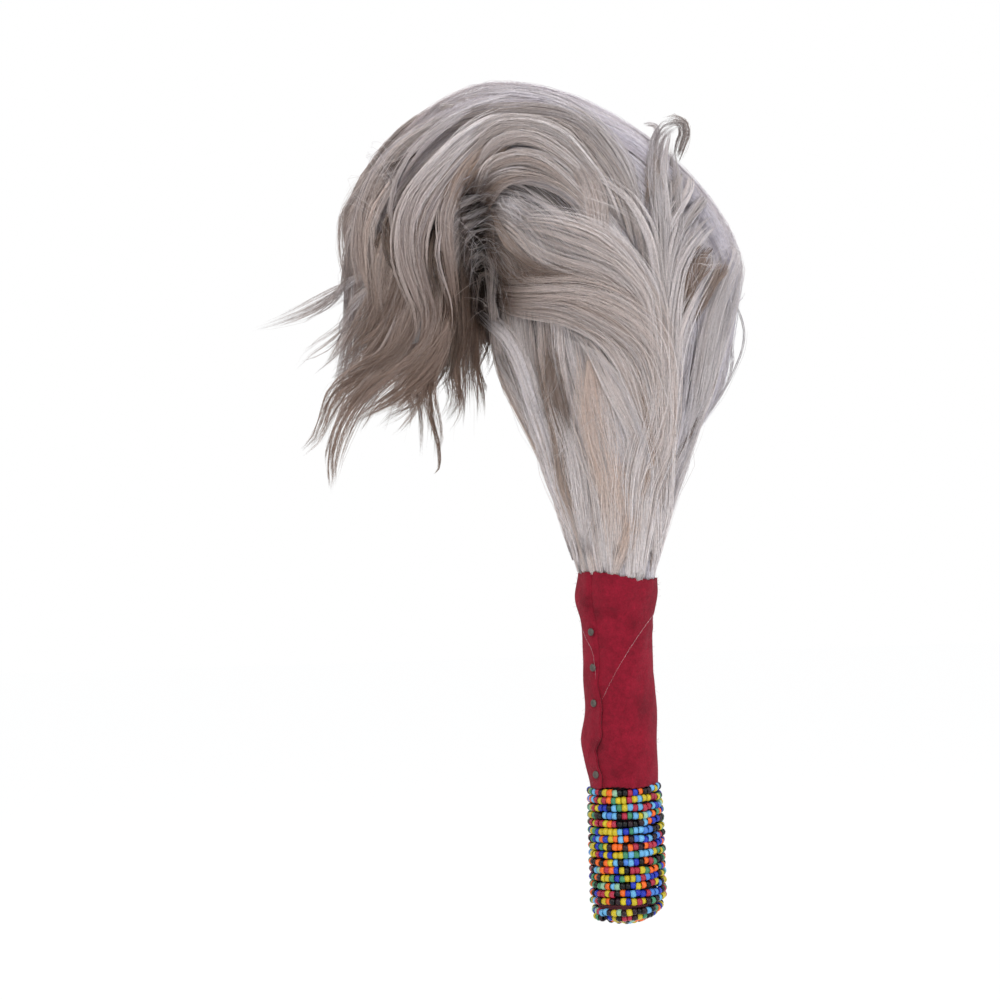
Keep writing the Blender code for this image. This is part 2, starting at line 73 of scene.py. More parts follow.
# The tail's flow: x and z of its outer edge, x and z of its inner edge and half its depth, in millimetres,
# at knots from inside the sleeve's mouth, up and over the crown and down to the tips.
FLOW_KNOTS = np.array((
    (13.3, 112.9, -13.3, 112.9, 13.3),
    (15.0, 118.5, -15.3, 118.5, 15.0),
    (18.8, 124.0, -18.2, 124.0, 18.2),
    (22.2, 134.5, -20.2, 134.5, 20.0),
    (23.0, 148.0, -22.6, 148.0, 23.0),
    (32.6, 175.9, -31.2, 169.3, 30.6),
    (45.8, 193.1, -38.5, 187.1, 35.9),
    (51.6, 212.4, -46.0, 201.6, 39.6),
    (55.2, 234.2, -50.0, 216.6, 42.8),
    (56.3, 253.0, -51.4, 229.6, 45.1),
    (44.0, 277.3, -51.4, 239.6, 46.0),
    (21.0, 304.0, -51.4, 246.6, 46.0),
    (-5.5, 321.6, -52.0, 251.7, 45.1),
    (-40.0, 332.4, -54.1, 254.5, 44.2),
    (-69.5, 325.0, -56.5, 252.6, 43.2),
    (-91.5, 306.6, -57.4, 247.5, 41.4),
    (-109.1, 282.6, -57.6, 240.6, 38.6),
    (-113.4, 255.6, -57.4, 230.6, 35.0),
    (-115.5, 226.5, -56.8, 216.6, 30.4),
    (-121.5, 202.0, -56.0, 201.6, 26.0),
    (-130.0, 186.0, -55.5, 186.0, 22.0),
    (-138.0, 170.0, -56.0, 170.0, 18.0),
)) * MM
LAST_KNOT = len(FLOW_KNOTS) - 1


def linear(code):
    """A colour written as sRGB hex, as the linear colour that shaders take."""
    parts = [int(code[i:i + 2], 16) / 255 for i in (1, 3, 5)]
    return tuple(p / 12.92 if p <= 0.04045 else ((p + 0.055) / 1.055) ** 2.4 for p in parts)


def shader_colour(colour):
    """A colour for a shader's socket, from sRGB hex or from linear values."""
    return (*(linear(colour) if isinstance(colour, str) else colour)[:3], 1.0)


COLOUR = dict(size=3, min=0.0, max=1.0, subtype="COLOR")
LENGTH = dict(unit="LENGTH", precision=5)


class WhiskHairSettings(bpy.types.PropertyGroup):
    strand_width: FloatProperty(
        name="Strand Width", description="Thickness of a drawn strand at its thickest place",
        default=0.22 * MM, min=0.1 * MM, max=2 * MM, **LENGTH)
    fullness: FloatProperty(
        name="Fullness", description="Share of the strands that are drawn",
        default=1.0, min=0.05, max=1.5, subtype="FACTOR")
    frizz: FloatProperty(
        name="Frizz", description="How far strands stray from their lock",
        default=1.0, min=0.0, max=3.0, subtype="FACTOR")
    light_colour: FloatVectorProperty(
        name="Light Hair", description="Colour of the hair from the sleeve up over the crown",
        default=linear("#EFE6E4"), **COLOUR)
    grey_colour: FloatVectorProperty(
        name="Grey Hair", description="Colour of the duller strands among the light ones",
        default=linear("#9C8C86"), **COLOUR)
    warm_colour: FloatVectorProperty(
        name="Warm Hair", description="Colour of the blond streaks",
        default=linear("#E3C4B0"), **COLOUR)
    # This bluish tone also stands for painted sky light on the outside of the arch.
    cool_and_sky_lit_colour: FloatVectorProperty(
        name="Cool Hair", description="Colour of the bluish grey hair on the outside of the arch",
        default=linear("#DAD5E4"), **COLOUR)
    tip_colour: FloatVectorProperty(
        name="Tip Hair", description="Colour of the worn ends of the hair",
        default=linear("#9A7A67"), **COLOUR)


class WhiskBeadSettings(bpy.types.PropertyGroup):
    beads_per_row: IntProperty(
        name="Beads per Row", description="Number of beads on one turn of the thread round the grip",
        default=42, min=12, max=80)
    bead_width: FloatProperty(
        name="Bead Width", description="Width of a bead across its thread",
        default=3.25 * MM, min=0.5 * MM, max=6 * MM, **LENGTH)
    bead_length: FloatProperty(
        name="Bead Length", description="Length of a bead along its thread",
        default=2.12 * MM, min=0.5 * MM, max=6 * MM, **LENGTH)
    unevenness: FloatProperty(
        name="Unevenness", description="How much hand-strung beads differ in size and seat",
        default=1.0, min=0.0, max=3.0, subtype="FACTOR")


class WhiskSleeveSettings(bpy.types.PropertyGroup):
    felt_colour: FloatVectorProperty(
        name="Felt", description="Colour of the red wool felt",
        default=linear("#8D172C"), **COLOUR)
    cloth_thickness: FloatProperty(
        name="Cloth Thickness", description="Thickness of the felt",
        default=1.0 * MM, min=0.3 * MM, max=3 * MM, **LENGTH)
    fuzz_length: FloatProperty(
        name="Fuzz Length", description="Length of the wool fibres that stand off the felt",
        default=0.9 * MM, min=0.0, max=4 * MM, **LENGTH)


class WhiskStageSettings(bpy.types.PropertyGroup):
    floor_colour: FloatVectorProperty(
        name="Floor", description="Colour of the floor", default=linear("#F4F4F4"), **COLOUR)
    key_power: FloatProperty(
        name="Key Light", description="Power of the soft light above the camera",
        default=13.0, min=0.0, max=500.0, subtype="POWER", unit="POWER")


def node(tree, kind, inputs=None, **settings):
    """Adds a shader node. A socket takes a value, a node's output, or a node for its first output."""
    made = tree.nodes.new(kind)
    for name, value in settings.items():
        setattr(made, name, value)
    for name, value in (inputs or {}).items():
        if isinstance(value, bpy.types.Node):
            value = value.outputs[0]
        if isinstance(value, bpy.types.NodeSocket):
            tree.links.new(value, made.inputs[name])
        else:
            made.inputs[name].default_value = value
    return made


def new_finish(name):
    """An empty material and its node tree, with the output in place."""
    material = bpy.data.materials.new(name)
    material.use_nodes = True
    material.node_tree.nodes.clear()
    return material, material.node_tree


def finish_with(tree, shader):
    node(tree, "ShaderNodeOutputMaterial", {"Surface": shader})


def deselect_all():
    if bpy.context.object and bpy.context.object.mode != "OBJECT":
        bpy.ops.object.mode_set(mode="OBJECT")
    bpy.ops.object.select_all(action="DESELECT")


def pick(piece):
    deselect_all()
    piece.select_set(True)
    bpy.context.view_layer.objects.active = piece


def link_new(name, data):
    made = bpy.data.objects.new(name, data)
    bpy.context.scene.collection.objects.link(made)
    return made


def name_piece(piece, name, material):
    piece.name = name
    piece.data.name = name
    piece.data.materials.clear()
    piece.data.materials.append(material)
    return piece


def form_piece(form, name, material):
    """Makes a bmesh a piece of its own and frees it."""
    mesh = bpy.data.meshes.new(name)
    form.to_mesh(mesh)
    form.free()
    return name_piece(link_new(name, mesh), name, material)


def along_knots(knots, at):
    """Rows at fractional places along a list of rows, on a curve that runs smoothly through them all."""
    last = len(knots) - 1
    at = np.asarray(at, float)
    index = np.clip(at.astype(int), 0, last - 1)
    t = (at - index)[..., None]
    a, b, c, d = (knots[np.clip(index + k, 0, last)] for k in (-1, 0, 1, 2))
    return 0.5 * (2 * b + (c - a) * t + (2 * a - 5 * b + 4 * c - d) * t ** 2
                  + (3 * b - a - 3 * c + d) * t ** 3)


def flow_point(at, share, turn):
    """A point in the tail's flow: knot, share of the way out from the middle, and turn round the section from
    the outer edge through the front."""
    rung = along_knots(FLOW_KNOTS, at)
    outer, inner, depth = rung[..., 0:2], rung[..., 2:4], rung[..., 4]
    across = (share * np.cos(turn))[..., None]
    middle = (outer + inner) / 2 + (outer - inner) / 2 * across
    return np.stack([middle[..., 0], -depth * share * np.sin(turn), middle[..., 1]], -1)


def hollow_share(points):
    """How deep a point on the front lies in the dark hollow between fall and front locks, from 0 to 1."""
    x, y, z = points[..., 0] / MM, points[..., 1], points[..., 2] / MM
    middle = np.interp(z, (244.0, 257.0, 283.0), (-53.6, -56.4, -58.1))
    reach = np.interp(z, (244.0, 257.0, 283.0), (6.8, 5.6, 4.6))
    across = np.where(x < middle, np.exp(-(np.abs(x - middle) / reach) ** 4),
                      np.exp(-(np.abs(x - middle) / (1.7 * reach)) ** 2.2))
    along = np.clip((z - 224.0) / 14.0, 0.0, 1.0) * np.clip((291.0 - z) / 12.0, 0.0, 1.0)
    return across * along * (y < 0.0)


def sunk(points):
    """The points, with those on the front of the hollow set deep into it."""
    deep = points.copy()
    deep[..., 1] *= 1.0 - 0.7 * hollow_share(points)
    return deep


def camera_place():
    return PICTURE_CENTRE + Vector((0.0, -CAMERA_DISTANCE, 0.0))


def at_pixel(u, v, depth=0.0):
    """The point that a pixel of the photograph shows, at a depth along Y."""
    offset = float(u - 500) * PIXEL * PICTURE_RIGHT + float(500 - v) * PIXEL * PICTURE_UP
    spread = (CAMERA_DISTANCE + depth) / CAMERA_DISTANCE
    return PICTURE_CENTRE + offset * spread + Vector((0.0, depth, 0.0))


def flow_skin():
    """The outer surface of the tail's flow, which the locks lie on."""
    rows, turns = 150, 64
    at = np.linspace(0.0, LAST_KNOT, rows)[:, None].repeat(turns, 1)
    turn = np.linspace(0.0, 2 * math.pi, turns, endpoint=False)[None, :].repeat(rows, 0)
    points = flow_point(at, np.ones_like(at), turn).reshape(-1, 3)
    faces = [(r * turns + k, r * turns + (k + 1) % turns, (r + 1) * turns + (k + 1) % turns,
              (r + 1) * turns + k) for r in range(rows - 1) for k in range(turns)]
    return BVHTree.FromPolygons([Vector(p) for p in points], faces)


def seat_guide(skin, pixels, side=-1.0, hug=False):
    """Points on the skin under a lock drawn over the photograph, on the front or behind, and the way out.
    A place beside the skin's outline keeps to its pixel, or with hug moves to the skin."""
    places, outs = [], []
    for u, v in pixels:
        flat = at_pixel(u, v)
        if side < 0:
            start = camera_place()
            aim = (flat - start).normalized()
        else:
            start, aim = Vector((flat.x, 1.0, flat.z)), Vector((0.0, -1.0, 0.0))
        place, normal = skin.ray_cast(start, aim)[:2]
        if place is None:
            near, normal = skin.find_nearest(flat)[:2]
            if hug:
                place = near
            else:
                place = at_pixel(u, v, near.y) if side < 0 else Vector((flat.x, near.y, flat.z))
        if normal.dot(aim) > 0:
            normal = -normal
        places.append(place)
        outs.append((normal - 0.6 * aim).normalized())
    return np.array(places), np.array(outs)


def even_path(rows, steps):
    """Rows at even distances along the smooth curve through some rows, by their first three values."""
    fine = along_knots(rows, np.linspace(0, len(rows) - 1, 24 * len(rows)))
    run = np.concatenate([[0.0], np.cumsum(np.linalg.norm(np.diff(fine[:, :3], axis=0), axis=1))])
    want = np.linspace(0.0, run[-1], steps)
    return np.stack([np.interp(want, run, fine[:, k]) for k in range(fine.shape[1])], 1), run[-1]


def unit(rows):
    return rows / np.maximum(np.linalg.norm(rows, axis=-1, keepdims=True), 1e-12)


def wander(rng, count, steps, waves):
    """Slow random waves along strands, between about -1 and 1."""
    run = np.linspace(0.0, 1.0, steps)[None, :]
    total = np.zeros((count, steps))
    for wave in waves:
        phase = rng.uniform(0, 2 * math.pi, (count, 1))
        size = rng.uniform(0.5, 1.0, (count, 1))
        total += size * np.sin(2 * math.pi * wave * run * rng.uniform(0.7, 1.3, (count, 1)) + phase)
    return total / len(waves)


def bend(rng, run, fewest, most):
    """One slow wave along a lock, between -1 and 1, with a random number of periods and start."""
    return np.sin(2 * math.pi * rng.uniform(fewest, most) * run + rng.uniform(0, 6.28))


class Strands:
    """Strands of hair for one piece: paths, thickness, and shade, warmth and reach for their colour."""

    def __init__(self):
        self.paths, self.widths, self.tones = [], [], []

    def add(self, paths, widths, shade, warmth, reach, hollow=False):
        for i in range(len(paths)):
            if hollow:
                values = (np.broadcast_to(v[i], len(paths[i])) for v in (widths, shade, warmth, reach))
                self.add_sunk(paths[i], *values)
                continue
            self.paths.append(paths[i])
            self.widths.append(widths[i])
            steps = len(paths[i])
            self.tones.append(np.stack([np.broadcast_to(shade[i], steps), np.broadcast_to(warmth[i], steps),
                                        reach[i]], 1))

    def add_sunk(self, path, *values):
        """Adds a strand that follows the hollow, with more points where it crosses it."""
        last = len(path) - 1
        at = np.arange(last + 1.0)
        if hollow_share(along_knots(path, np.linspace(0, last, 4 * last))).max() > 0.05:
            at = np.linspace(0, last, 3 * last // 2 + 1)
        width, shade, warmth, reach = (np.interp(at, np.arange(last + 1), value) for value in values)
        path = along_knots(path, at)
        deep = hollow_share(path)
        # Painted shade in the hollow: the deeper a point lies, the darker and browner its strand.
        self.add([sunk(path)], [width], [shade - 1.5 * deep ** 1.5], [warmth], [reach + 0.4 * deep])

    def make(self, name, material):
        """Draws every strand as a spline with a three-sided section, and makes the curve a mesh."""
        deselect_all()
        section = bpy.data.curves.new("strand_section", "CURVE")
        ring = section.splines.new("POLY")
        ring.points.add(2)
        for point, corner in zip(ring.points, ((0.0, 0.5), (0.43, -0.25), (-0.43, -0.25))):
            point.co = (*corner, 0.0, 1.0)
        ring.use_cyclic_u = True
        section_object = link_new("strand_section", section)
        curve = bpy.data.curves.new(name, "CURVE")
        curve.dimensions = "3D"
        curve.bevel_mode = "OBJECT"
        curve.bevel_object = section_object
        curve.use_fill_caps = False
        for path, width in zip(self.paths, self.widths):
            spline = curve.splines.new("POLY")
            spline.points.add(len(path) - 1)
            places = np.column_stack([path, np.ones(len(path))])
            spline.points.foreach_set("co", places.astype(np.float32).ravel())
            spline.points.foreach_set("radius", width.astype(np.float32))
        piece = link_new(name, curve)
        pick(piece)
        bpy.ops.object.convert(target="MESH")
        tones = np.repeat(np.concatenate(self.tones), 3, axis=0).astype(np.float32)
        if len(tones) != len(piece.data.vertices):
            raise RuntimeError(f"{name}: {len(tones)} tones for {len(piece.data.vertices)} vertices")
        layer = piece.data.attributes.new("hair_tone", "FLOAT_VECTOR", "POINT")
        layer.data.foreach_set("vector", tones.ravel())
        bpy.ops.object.mode_set(mode="EDIT")
        bpy.ops.mesh.select_all(action="SELECT")
        bpy.ops.mesh.remove_doubles(threshold=1e-7)
        bpy.ops.object.mode_set(mode="OBJECT")
        bpy.data.objects.remove(section_object)
        bpy.data.curves.remove(section)
        bpy.data.curves.remove(curve)
        return name_piece(piece, name, material)


def taper(steps, start, end, power=2.0):
    """Thickness along a strand in shares of the whole: closed at both ends, thinner towards the tip."""
    run = np.linspace(0.0, 1.0, steps)
    width = start + (1.0 - start) * np.clip(run / 0.15, 0.0, 1.0)
    width *= 1.0 - (1.0 - end) * run ** power
    width[0] = width[-1] = 0.0
    return width


def loft(form, flow_map, rings, mapped):
    """Skins rings of vertices and closes both ends. mapped gives a corner's place in the map."""
    sides = len(rings[0])
    for r in range(len(rings) - 1):
        for k in range(sides):
            corners = ((r, k), (r, k + 1), (r + 1, k + 1), (r + 1, k))
            face = form.faces.new([rings[i][j % sides] for i, j in corners])
            face.smooth = True
            for loop, (i, j) in zip(face.loops, corners):
                loop[flow_map].uv = mapped(i, j)
    form.faces.new(rings[0][::-1])
    form.faces.new(rings[-1])


class Bodies:
    """Closed, flattened bodies of locks, gathered for one piece, with a map that runs along the hair."""

    def __init__(self):
        self.rings, self.tones, self.maps = [], [], []

    def add(self, rings, tones, around, along):
        self.rings.append(rings)
        self.tones.append(tones)
        self.maps.append((around, along))

    def make(self, name, material):
        form = bmesh.new()
        tone = form.verts.layers.float_vector.new("hair_tone")
        flow_map = form.loops.layers.uv.new("flow")
        for number, (rings, tones, (around, along)) in enumerate(zip(self.rings, self.tones, self.maps)):
            steps, sides = rings.shape[:2]
            loops = []
            for ring, value in zip(rings, tones):
                loops.append([form.verts.new(p) for p in ring])
                for vertex in loops[-1]:
                    vertex[tone] = value
            loft(form, flow_map, loops,
                 lambda i, j: (number * 3.7 + j / sides * around, i / steps * along))
        bmesh.ops.recalc_face_normals(form, faces=form.faces)
        return form_piece(form, name, material)


def add_lock(hair, bodies, rng, settings, guide, outs, spread, thickness, density, tone, lift=0.0,
             tip_share=0.75, step=8.0 * MM, frizz=1.0, thin=1.0, root_stagger=0.08, most_steps=28,
             hollow=False, body_share=0.80, fade=0.0, wear=1.0, root_shade=None):
    """Adds one lock along its guide, which lies on a surface: a flattened body, and strands over it that
    gather into tufts towards the tip. spread gives the lock's width along its run, lift its height over the
    surface, and tone its shade, its warmth and the reach of its root and tip."""
    places = np.linspace(0, 1, len(guide))
    spread, lift = (np.interp(places, np.linspace(0, 1, np.size(v)), np.atleast_1d(v))
                    for v in (spread, lift))
    rows = np.concatenate([guide, outs, spread[:, None], lift[:, None]], 1)
    length = even_path(rows, 8)[1]
    steps = int(min(max(length / step, 7), most_steps))
    path, _ = even_path(rows, steps)
    place, out, wide, high = path[:, :3], unit(path[:, 3:6]), path[:, 6], path[:, 7]
    for _ in range(2):
        place[1:-1, 1] = (place[:-2, 1] + 2 * place[1:-1, 1] + place[2:, 1]) / 4
    ahead = unit(np.gradient(place, axis=0))
    side = unit(np.cross(ahead, out))
    out = unit(np.cross(side, ahead))
    place = place + out * high[:, None]
    run = np.linspace(0.0, 1.0, steps)
    thick = thickness * (0.35 + 0.65 * wide / wide.max())
    swing = rng.uniform(0.5, 1.3) * 0.08 * bend(rng, run, 0.7, 1.8)
    place = place + side * (swing * wide)[:, None]
    shade, warmth, near, far = tone
    if root_shade is not None:
        shade = np.interp(run, (0.2, 0.7), (max(root_shade, shade), shade))
        warmth = warmth * np.clip(2.4 * run, 0.15, 1.0)
    # Painted shade: the hair darkens where it turns down into the fall.
    shade = shade - fade * np.clip((run - 0.75) / 0.2, 0.0, 1.0)  # darker towards the fall
    warmth = np.broadcast_to(warmth, steps)

    if bodies is not None:
        sides = 10
        corner = np.linspace(0, 2 * math.pi, sides, endpoint=False)
        close = np.clip((1.0 - run) / 0.30, 0.02, 1.0) ** 0.7 * np.clip(run / 0.01, 0.4, 1.0) ** 0.5
        back = run * body_share
        middle = np.stack([np.interp(back, run, place[:, k]) for k in range(3)], 1)
        half = np.interp(back, run, wide) * 0.45 * close
        deep = np.interp(back, run, thick) * 0.45 * close * np.interp(run, (0.0, 0.1), (0.35, 1.0))
        rings = (middle[:, None] + side[:, None] * (np.cos(corner)[None] * half[:, None])[..., None]
                 + out[:, None] * ((np.sin(corner)[None] * 0.92) * deep[:, None]
                                   + 0.2 * deep[:, None])[..., None])
        if hollow:
            rings = sunk(rings)
        # Painted shade: a body is a little darker than its strands, as the hair beneath them.
        tones = np.stack([np.clip(np.interp(back, run, shade) - 0.05, -0.6, 1.0),
                          np.interp(back, run, warmth), near + (far - near) * back ** wear], 1)
        bodies.add(rings, tones, 2 * wide.max() / MM, length / MM)

    count = max(int(density * wide.max() / MM * settings.fullness), 3)
    frizz = frizz * settings.frizz
    across = rng.uniform(-1.0, 1.0, (count, 1))
    level = rng.uniform(0.3, 1.0, (count, 1)) ** 0.5
    tufts = max(int(wide.max() / (1.8 * MM)), 2)
    seats = np.linspace(-0.85, 0.85, tufts) + rng.normal(0, 0.3 / tufts, tufts)
    tuft = np.abs(across - seats[None, :]).argmin(1)
    tuft = np.where(rng.random(count) < 0.2, rng.integers(0, tufts, count), tuft)
    seats_along = seats[:, None] + 1.0 / tufts * wander(rng, tufts, steps, (0.7, 1.6))
    heights = rng.uniform(0.45, 1.0, (tufts, 1)) + 0.2 * wander(rng, tufts, steps, (0.8, 1.8))
    pull = rng.uniform(0.35, 0.85, (count, 1)) * np.clip(run[None, :] * 1.4, 0.0, 1.0) ** 1.2
    across = across * (1.0 - pull) + (seats_along[tuft] + rng.normal(0, 0.40 / tufts, (count, 1))) * pull
    across = across + frizz * 0.14 * wander(rng, count, steps, (0.8, 2.2, 5.0))
    crown = np.sqrt(np.maximum(1.0 - np.clip(across, -1, 1) ** 2, 0.0))
    height = (level * (1.0 - pull) + heights[tuft] * pull) * crown
    height = height + frizz * 0.10 * wander(rng, count, steps, (1.2, 3.5, 6.0))
    loose = rng.random(count) < 0.12
    height = height + loose[:, None] * rng.uniform(0.1, 0.5, (count, 1)) * np.sin(math.pi * run)[None, :]
    across = across + loose[:, None] * 0.7 * frizz * wander(rng, count, steps, (0.6, 1.5))
    paths = (place[None] + side[None] * (across * wide[None] / 2)[..., None]
             + out[None] * (height * 0.85 * thick[None])[..., None])
    tuft_ends = rng.uniform(tip_share, 1.0, tufts)
    ends = np.clip(tuft_ends[tuft] + rng.normal(0, 0.05, count), 0.4, 1.0)
    starts = rng.uniform(0.0, root_stagger, count)
    blunt = root_stagger < 0.02  # the lock starts inside the sleeve and is full where it comes out
    pace = run.copy()
    pace[1] *= 0.15 if blunt else 1.0
    paths = np.array([along_knots(path, (a + (e - a) * pace) * (steps - 1))
                      for path, a, e in zip(paths, starts, ends)])
    full = taper(steps, 0.9 if blunt else 0.5, 0.25)
    widths = settings.strand_width * thin * rng.uniform(0.75, 1.3, (count, 1)) * full[None, :]
    uneven = 0.03 + 0.14 * min(max(near, far), 0.6)  # the hair is evener near the root
    shades = (shade[None, :] + rng.normal(0, uneven, tufts)[tuft][:, None]
              + rng.normal(0, 0.02 + 0.5 * uneven, (count, 1)))
    # Painted shade: strands lying lower in the lock are darker, which deepens the gaps between the tufts.
    shades = shades + (0.05 + 0.5 * uneven) * (height - 0.6) + 0.06 * wander(rng, count, steps, (0.8, 2.0))
    warms = warmth[None, :] + rng.normal(0, uneven, tufts)[tuft][:, None] + rng.normal(0, 0.08, (count, 1))
    warms = np.clip(warms, -1, 1)
    reach = [near + (far - near) * run ** wear] * count
    hair.add(paths, widths, np.clip(shades, -0.6, 1.2), warms, reach, hollow)


def two_tone(tree, share, dark, light, height, strength, distance, **gloss):
    """Ends a finish whose colour runs from dark to light by one pattern, with relief from a height."""
    colour = node(tree, "ShaderNodeMix", {0: share, 6: shader_colour(dark), 7: shader_colour(light)},
                  data_type="RGBA")
    bump = node(tree, "ShaderNodeBump", {"Height": height, "Strength": strength, "Distance": distance})
    gloss = {name.replace("_", " ").title(): value for name, value in gloss.items()}
    finish_with(tree, node(tree, "ShaderNodeBsdfPrincipled", {
        "Base Color": colour.outputs[2], "Normal": bump, **gloss}))


def wood_finish():
    """Carved hardwood, dull from handling: long grain with a few darker lines."""
    material, tree = new_finish("carved_hardwood")
    place = node(tree, "ShaderNodeTexCoord").outputs["Object"]
    along = node(tree, "ShaderNodeMapping", {"Vector": place, "Scale": (900.0, 900.0, 45.0)})
    grain = node(tree, "ShaderNodeTexNoise", {"Vector": along, "Scale": 1.0, "Detail": 4.0})
    two_tone(tree, grain, "#5E4128", "#9A7148", grain, 0.3, 0.3 * MM, roughness=0.6)
    return material


def underlay_finish():
    """Maroon cotton: painted shade makes it near black between the beads; its own colour shows over the butt.
    """
    material, tree = new_finish("maroon_cotton")
    place = node(tree, "ShaderNodeTexCoord").outputs["Object"]
    parts = node(tree, "ShaderNodeSeparateXYZ", {"Vector": place})
    height = node(tree, "ShaderNodeMapRange", {
        0: parts.outputs[2], 1: -23.0 * MM, 2: -20.5 * MM, 3: 0.0, 4: 1.0})
    weave = node(tree, "ShaderNodeTexWave", {"Vector": place, "Scale": 340.0, "Distortion": 0.6},
                 bands_direction="Z")
    unshaded_cotton = node(tree, "ShaderNodeMix", {0: weave.outputs[1], 6: shader_colour("#4A2028"),
                                         7: shader_colour("#76353F")}, data_type="RGBA")
    # painted shade: near black along the grip, where the cloth shows only in the gaps between the beads
    colour = node(tree, "ShaderNodeMix", {0: height, 6: unshaded_cotton.outputs[2],
                                          7: shader_colour("#1C0E11")}, data_type="RGBA")
    bump = node(tree, "ShaderNodeBump", {"Height": weave.outputs[1], "Strength": 0.5, "Distance": 0.0002})
    finish_with(tree, node(tree, "ShaderNodeBsdfPrincipled", {
        "Base Color": colour.outputs[2], "Roughness": 0.9, "Sheen Weight": 0.1, "Normal": bump}))
    return material


def rawhide_finish():
    """Dried tail skin: yellowish, mottled and matte, with fine wrinkles."""
    material, tree = new_finish("dried_rawhide")
    place = node(tree, "ShaderNodeTexCoord").outputs["Object"]
    mottle = node(tree, "ShaderNodeTexNoise", {"Vector": place, "Scale": 220.0, "Detail": 5.0})
    wrinkle = node(tree, "ShaderNodeTexVoronoi", {"Vector": place, "Scale": 700.0})
    two_tone(tree, mottle, "#8C7450", "#C7AE84", wrinkle, 0.4, 0.3 * MM, roughness=0.72)
    return material


def sinew_finish():
    """Twisted sinew: fine slanting strands with a dull wax gleam."""
    material, tree = new_finish("twisted_sinew")
    place = node(tree, "ShaderNodeTexCoord").outputs["Object"]
    twist = node(tree, "ShaderNodeTexWave", {"Vector": place, "Scale": 120.0, "Distortion": 1.5},
                 bands_direction="DIAGONAL")
    strands = twist.outputs[1]
    two_tone(tree, strands, "#7D6A48", "#B8A67E", strands, 0.5, 0.3 * MM, roughness=0.5)
    return material


def iron_finish():
    """Hand-cut iron tacks, browned by rust and handling: dark, with brighter patches at random."""
    material, tree = new_finish("browned_iron")
    place = node(tree, "ShaderNodeTexCoord").outputs["Object"]
    rust = node(tree, "ShaderNodeTexNoise", {"Vector": place, "Scale": 1400.0, "Detail": 4.0})
    rough = node(tree, "ShaderNodeMapRange", {0: rust, 1: 0.3, 2: 0.7, 3: 0.35, 4: 0.65})
    two_tone(tree, rust, "#2E2A27", "#77706A", rust, 0.5, 0.2 * MM, metallic=0.85, roughness=rough)
    return material


def dress_node(name, material):
    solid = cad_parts[name]
    solid.data.materials.clear()
    solid.data.materials.append(material)


class WHISK_OT_grip(bpy.types.Operator):
    """Gives the stick, the hide, its binding and the tacks their finishes"""
    bl_idname = "whisk.grip"
    bl_label = "Grip"

    def execute(self, context):
        dress_node("wood_core", wood_finish())
        dress_node("tail_hide", rawhide_finish())
        dress_node("root_binding", sinew_finish())
        iron = iron_finish()
        for number in range(1, 5):
            dress_node(f"seam_tack_{number}", iron)
        return {"FINISHED"}


# Opaque glass of the beads and how often each is strung.
GLASS = (("#CDB826", 18), ("#F06A22", 13), ("#AC2A42", 12), ("#2236B0", 12), ("#4A82D6", 7), ("#6BB3E2", 9),
         ("#418A64", 10), ("#93BFA0", 3), ("#060608", 9), ("#2A161E", 8), ("#0A090B", 4))
CREAM = linear("#D8C8A0")
# Where the string was threaded with more of some colours: angle from the left through the front, height in
# millimetres, reach in degrees and in millimetres, colours, and how much more often they come.
ZONES = ((112, 3, 22, 14, (4, 5), 3.5), (118, -6, 20, 8, (3, 4, 5), 2.5), (82, 11, 12, 6, (8, 9), 3.0),
         (35, 12, 18, 12, (0, 1), 2.2), (75, -24, 25, 4, (8, 9, 3), 2.5),
         (125, -16, 20, 6, (2, 1), 2.5), (45, -18, 20, 5, (2, 1), 2.0))


def bead_finish():
    """Pressed opaque glass: bright and glossy, with swirls in the glass, darker towards the thread hole."""
    material, tree = new_finish("opaque_glass_beads")
    glass = node(tree, "ShaderNodeAttribute", attribute_name="bead_glass")
    place = node(tree, "ShaderNodeTexCoord").outputs["Object"]
    swirl = node(tree, "ShaderNodeTexNoise", {"Vector": place, "Scale": 1500.0, "Detail": 3.0})
    depth = node(tree, "ShaderNodeMapRange", {0: swirl, 1: 0.3, 2: 0.7, 3: 0.78, 4: 1.06})
    swirled = node(tree, "ShaderNodeMix", {0: 1.0, 6: glass.outputs["Color"], 7: depth},
                   data_type="RGBA", blend_type="MULTIPLY")
    hole_darkening = node(tree, "ShaderNodeMapRange", {0: glass.outputs["Alpha"], 1: 0.25, 2: 0.8, 3: 0.0, 4: 0.85})
    darkened = node(tree, "ShaderNodeMix", {0: hole_darkening, 6: swirled.outputs[2],
                                          7: shader_colour("#1B1513")}, data_type="RGBA")
    finish_with(tree, node(tree, "ShaderNodeBsdfPrincipled", {
        "Base Color": darkened.outputs[2], "Roughness": 0.2, "Specular IOR Level": 0.28}))
    return material


def thread_finish():
    """Dark waxed cotton thread: fine plies over and under each other, darker between them, with patchy soil.
    """
    material, tree = new_finish("waxed_thread")
    place = node(tree, "ShaderNodeTexCoord").outputs["Object"]
    colour, ply = linear("#2A1E1C"), 0.15 * MM
    bands = {"Vector": place, "Scale": 2 * math.pi / (2 * ply) / 20, "Distortion": 0.6}
    weave = node(tree, "ShaderNodeTexWave", bands, bands_direction="Z")
    cross = node(tree, "ShaderNodeTexWave", bands, bands_direction="X")
    threads = node(tree, "ShaderNodeMath", {0: weave.outputs[1], 1: cross.outputs[1]}, operation="MULTIPLY")
    soil = node(tree, "ShaderNodeTexNoise", {"Vector": place, "Scale": 160.0, "Detail": 4.0})
    mixed = node(tree, "ShaderNodeMath", {0: threads, 1: soil}, operation="ADD")
    two_tone(tree, mixed, [0.5 * c for c in colour], colour, threads, 0.5, 0.2 * MM, roughness=0.9,
             sheen_weight=0.2)
    return material


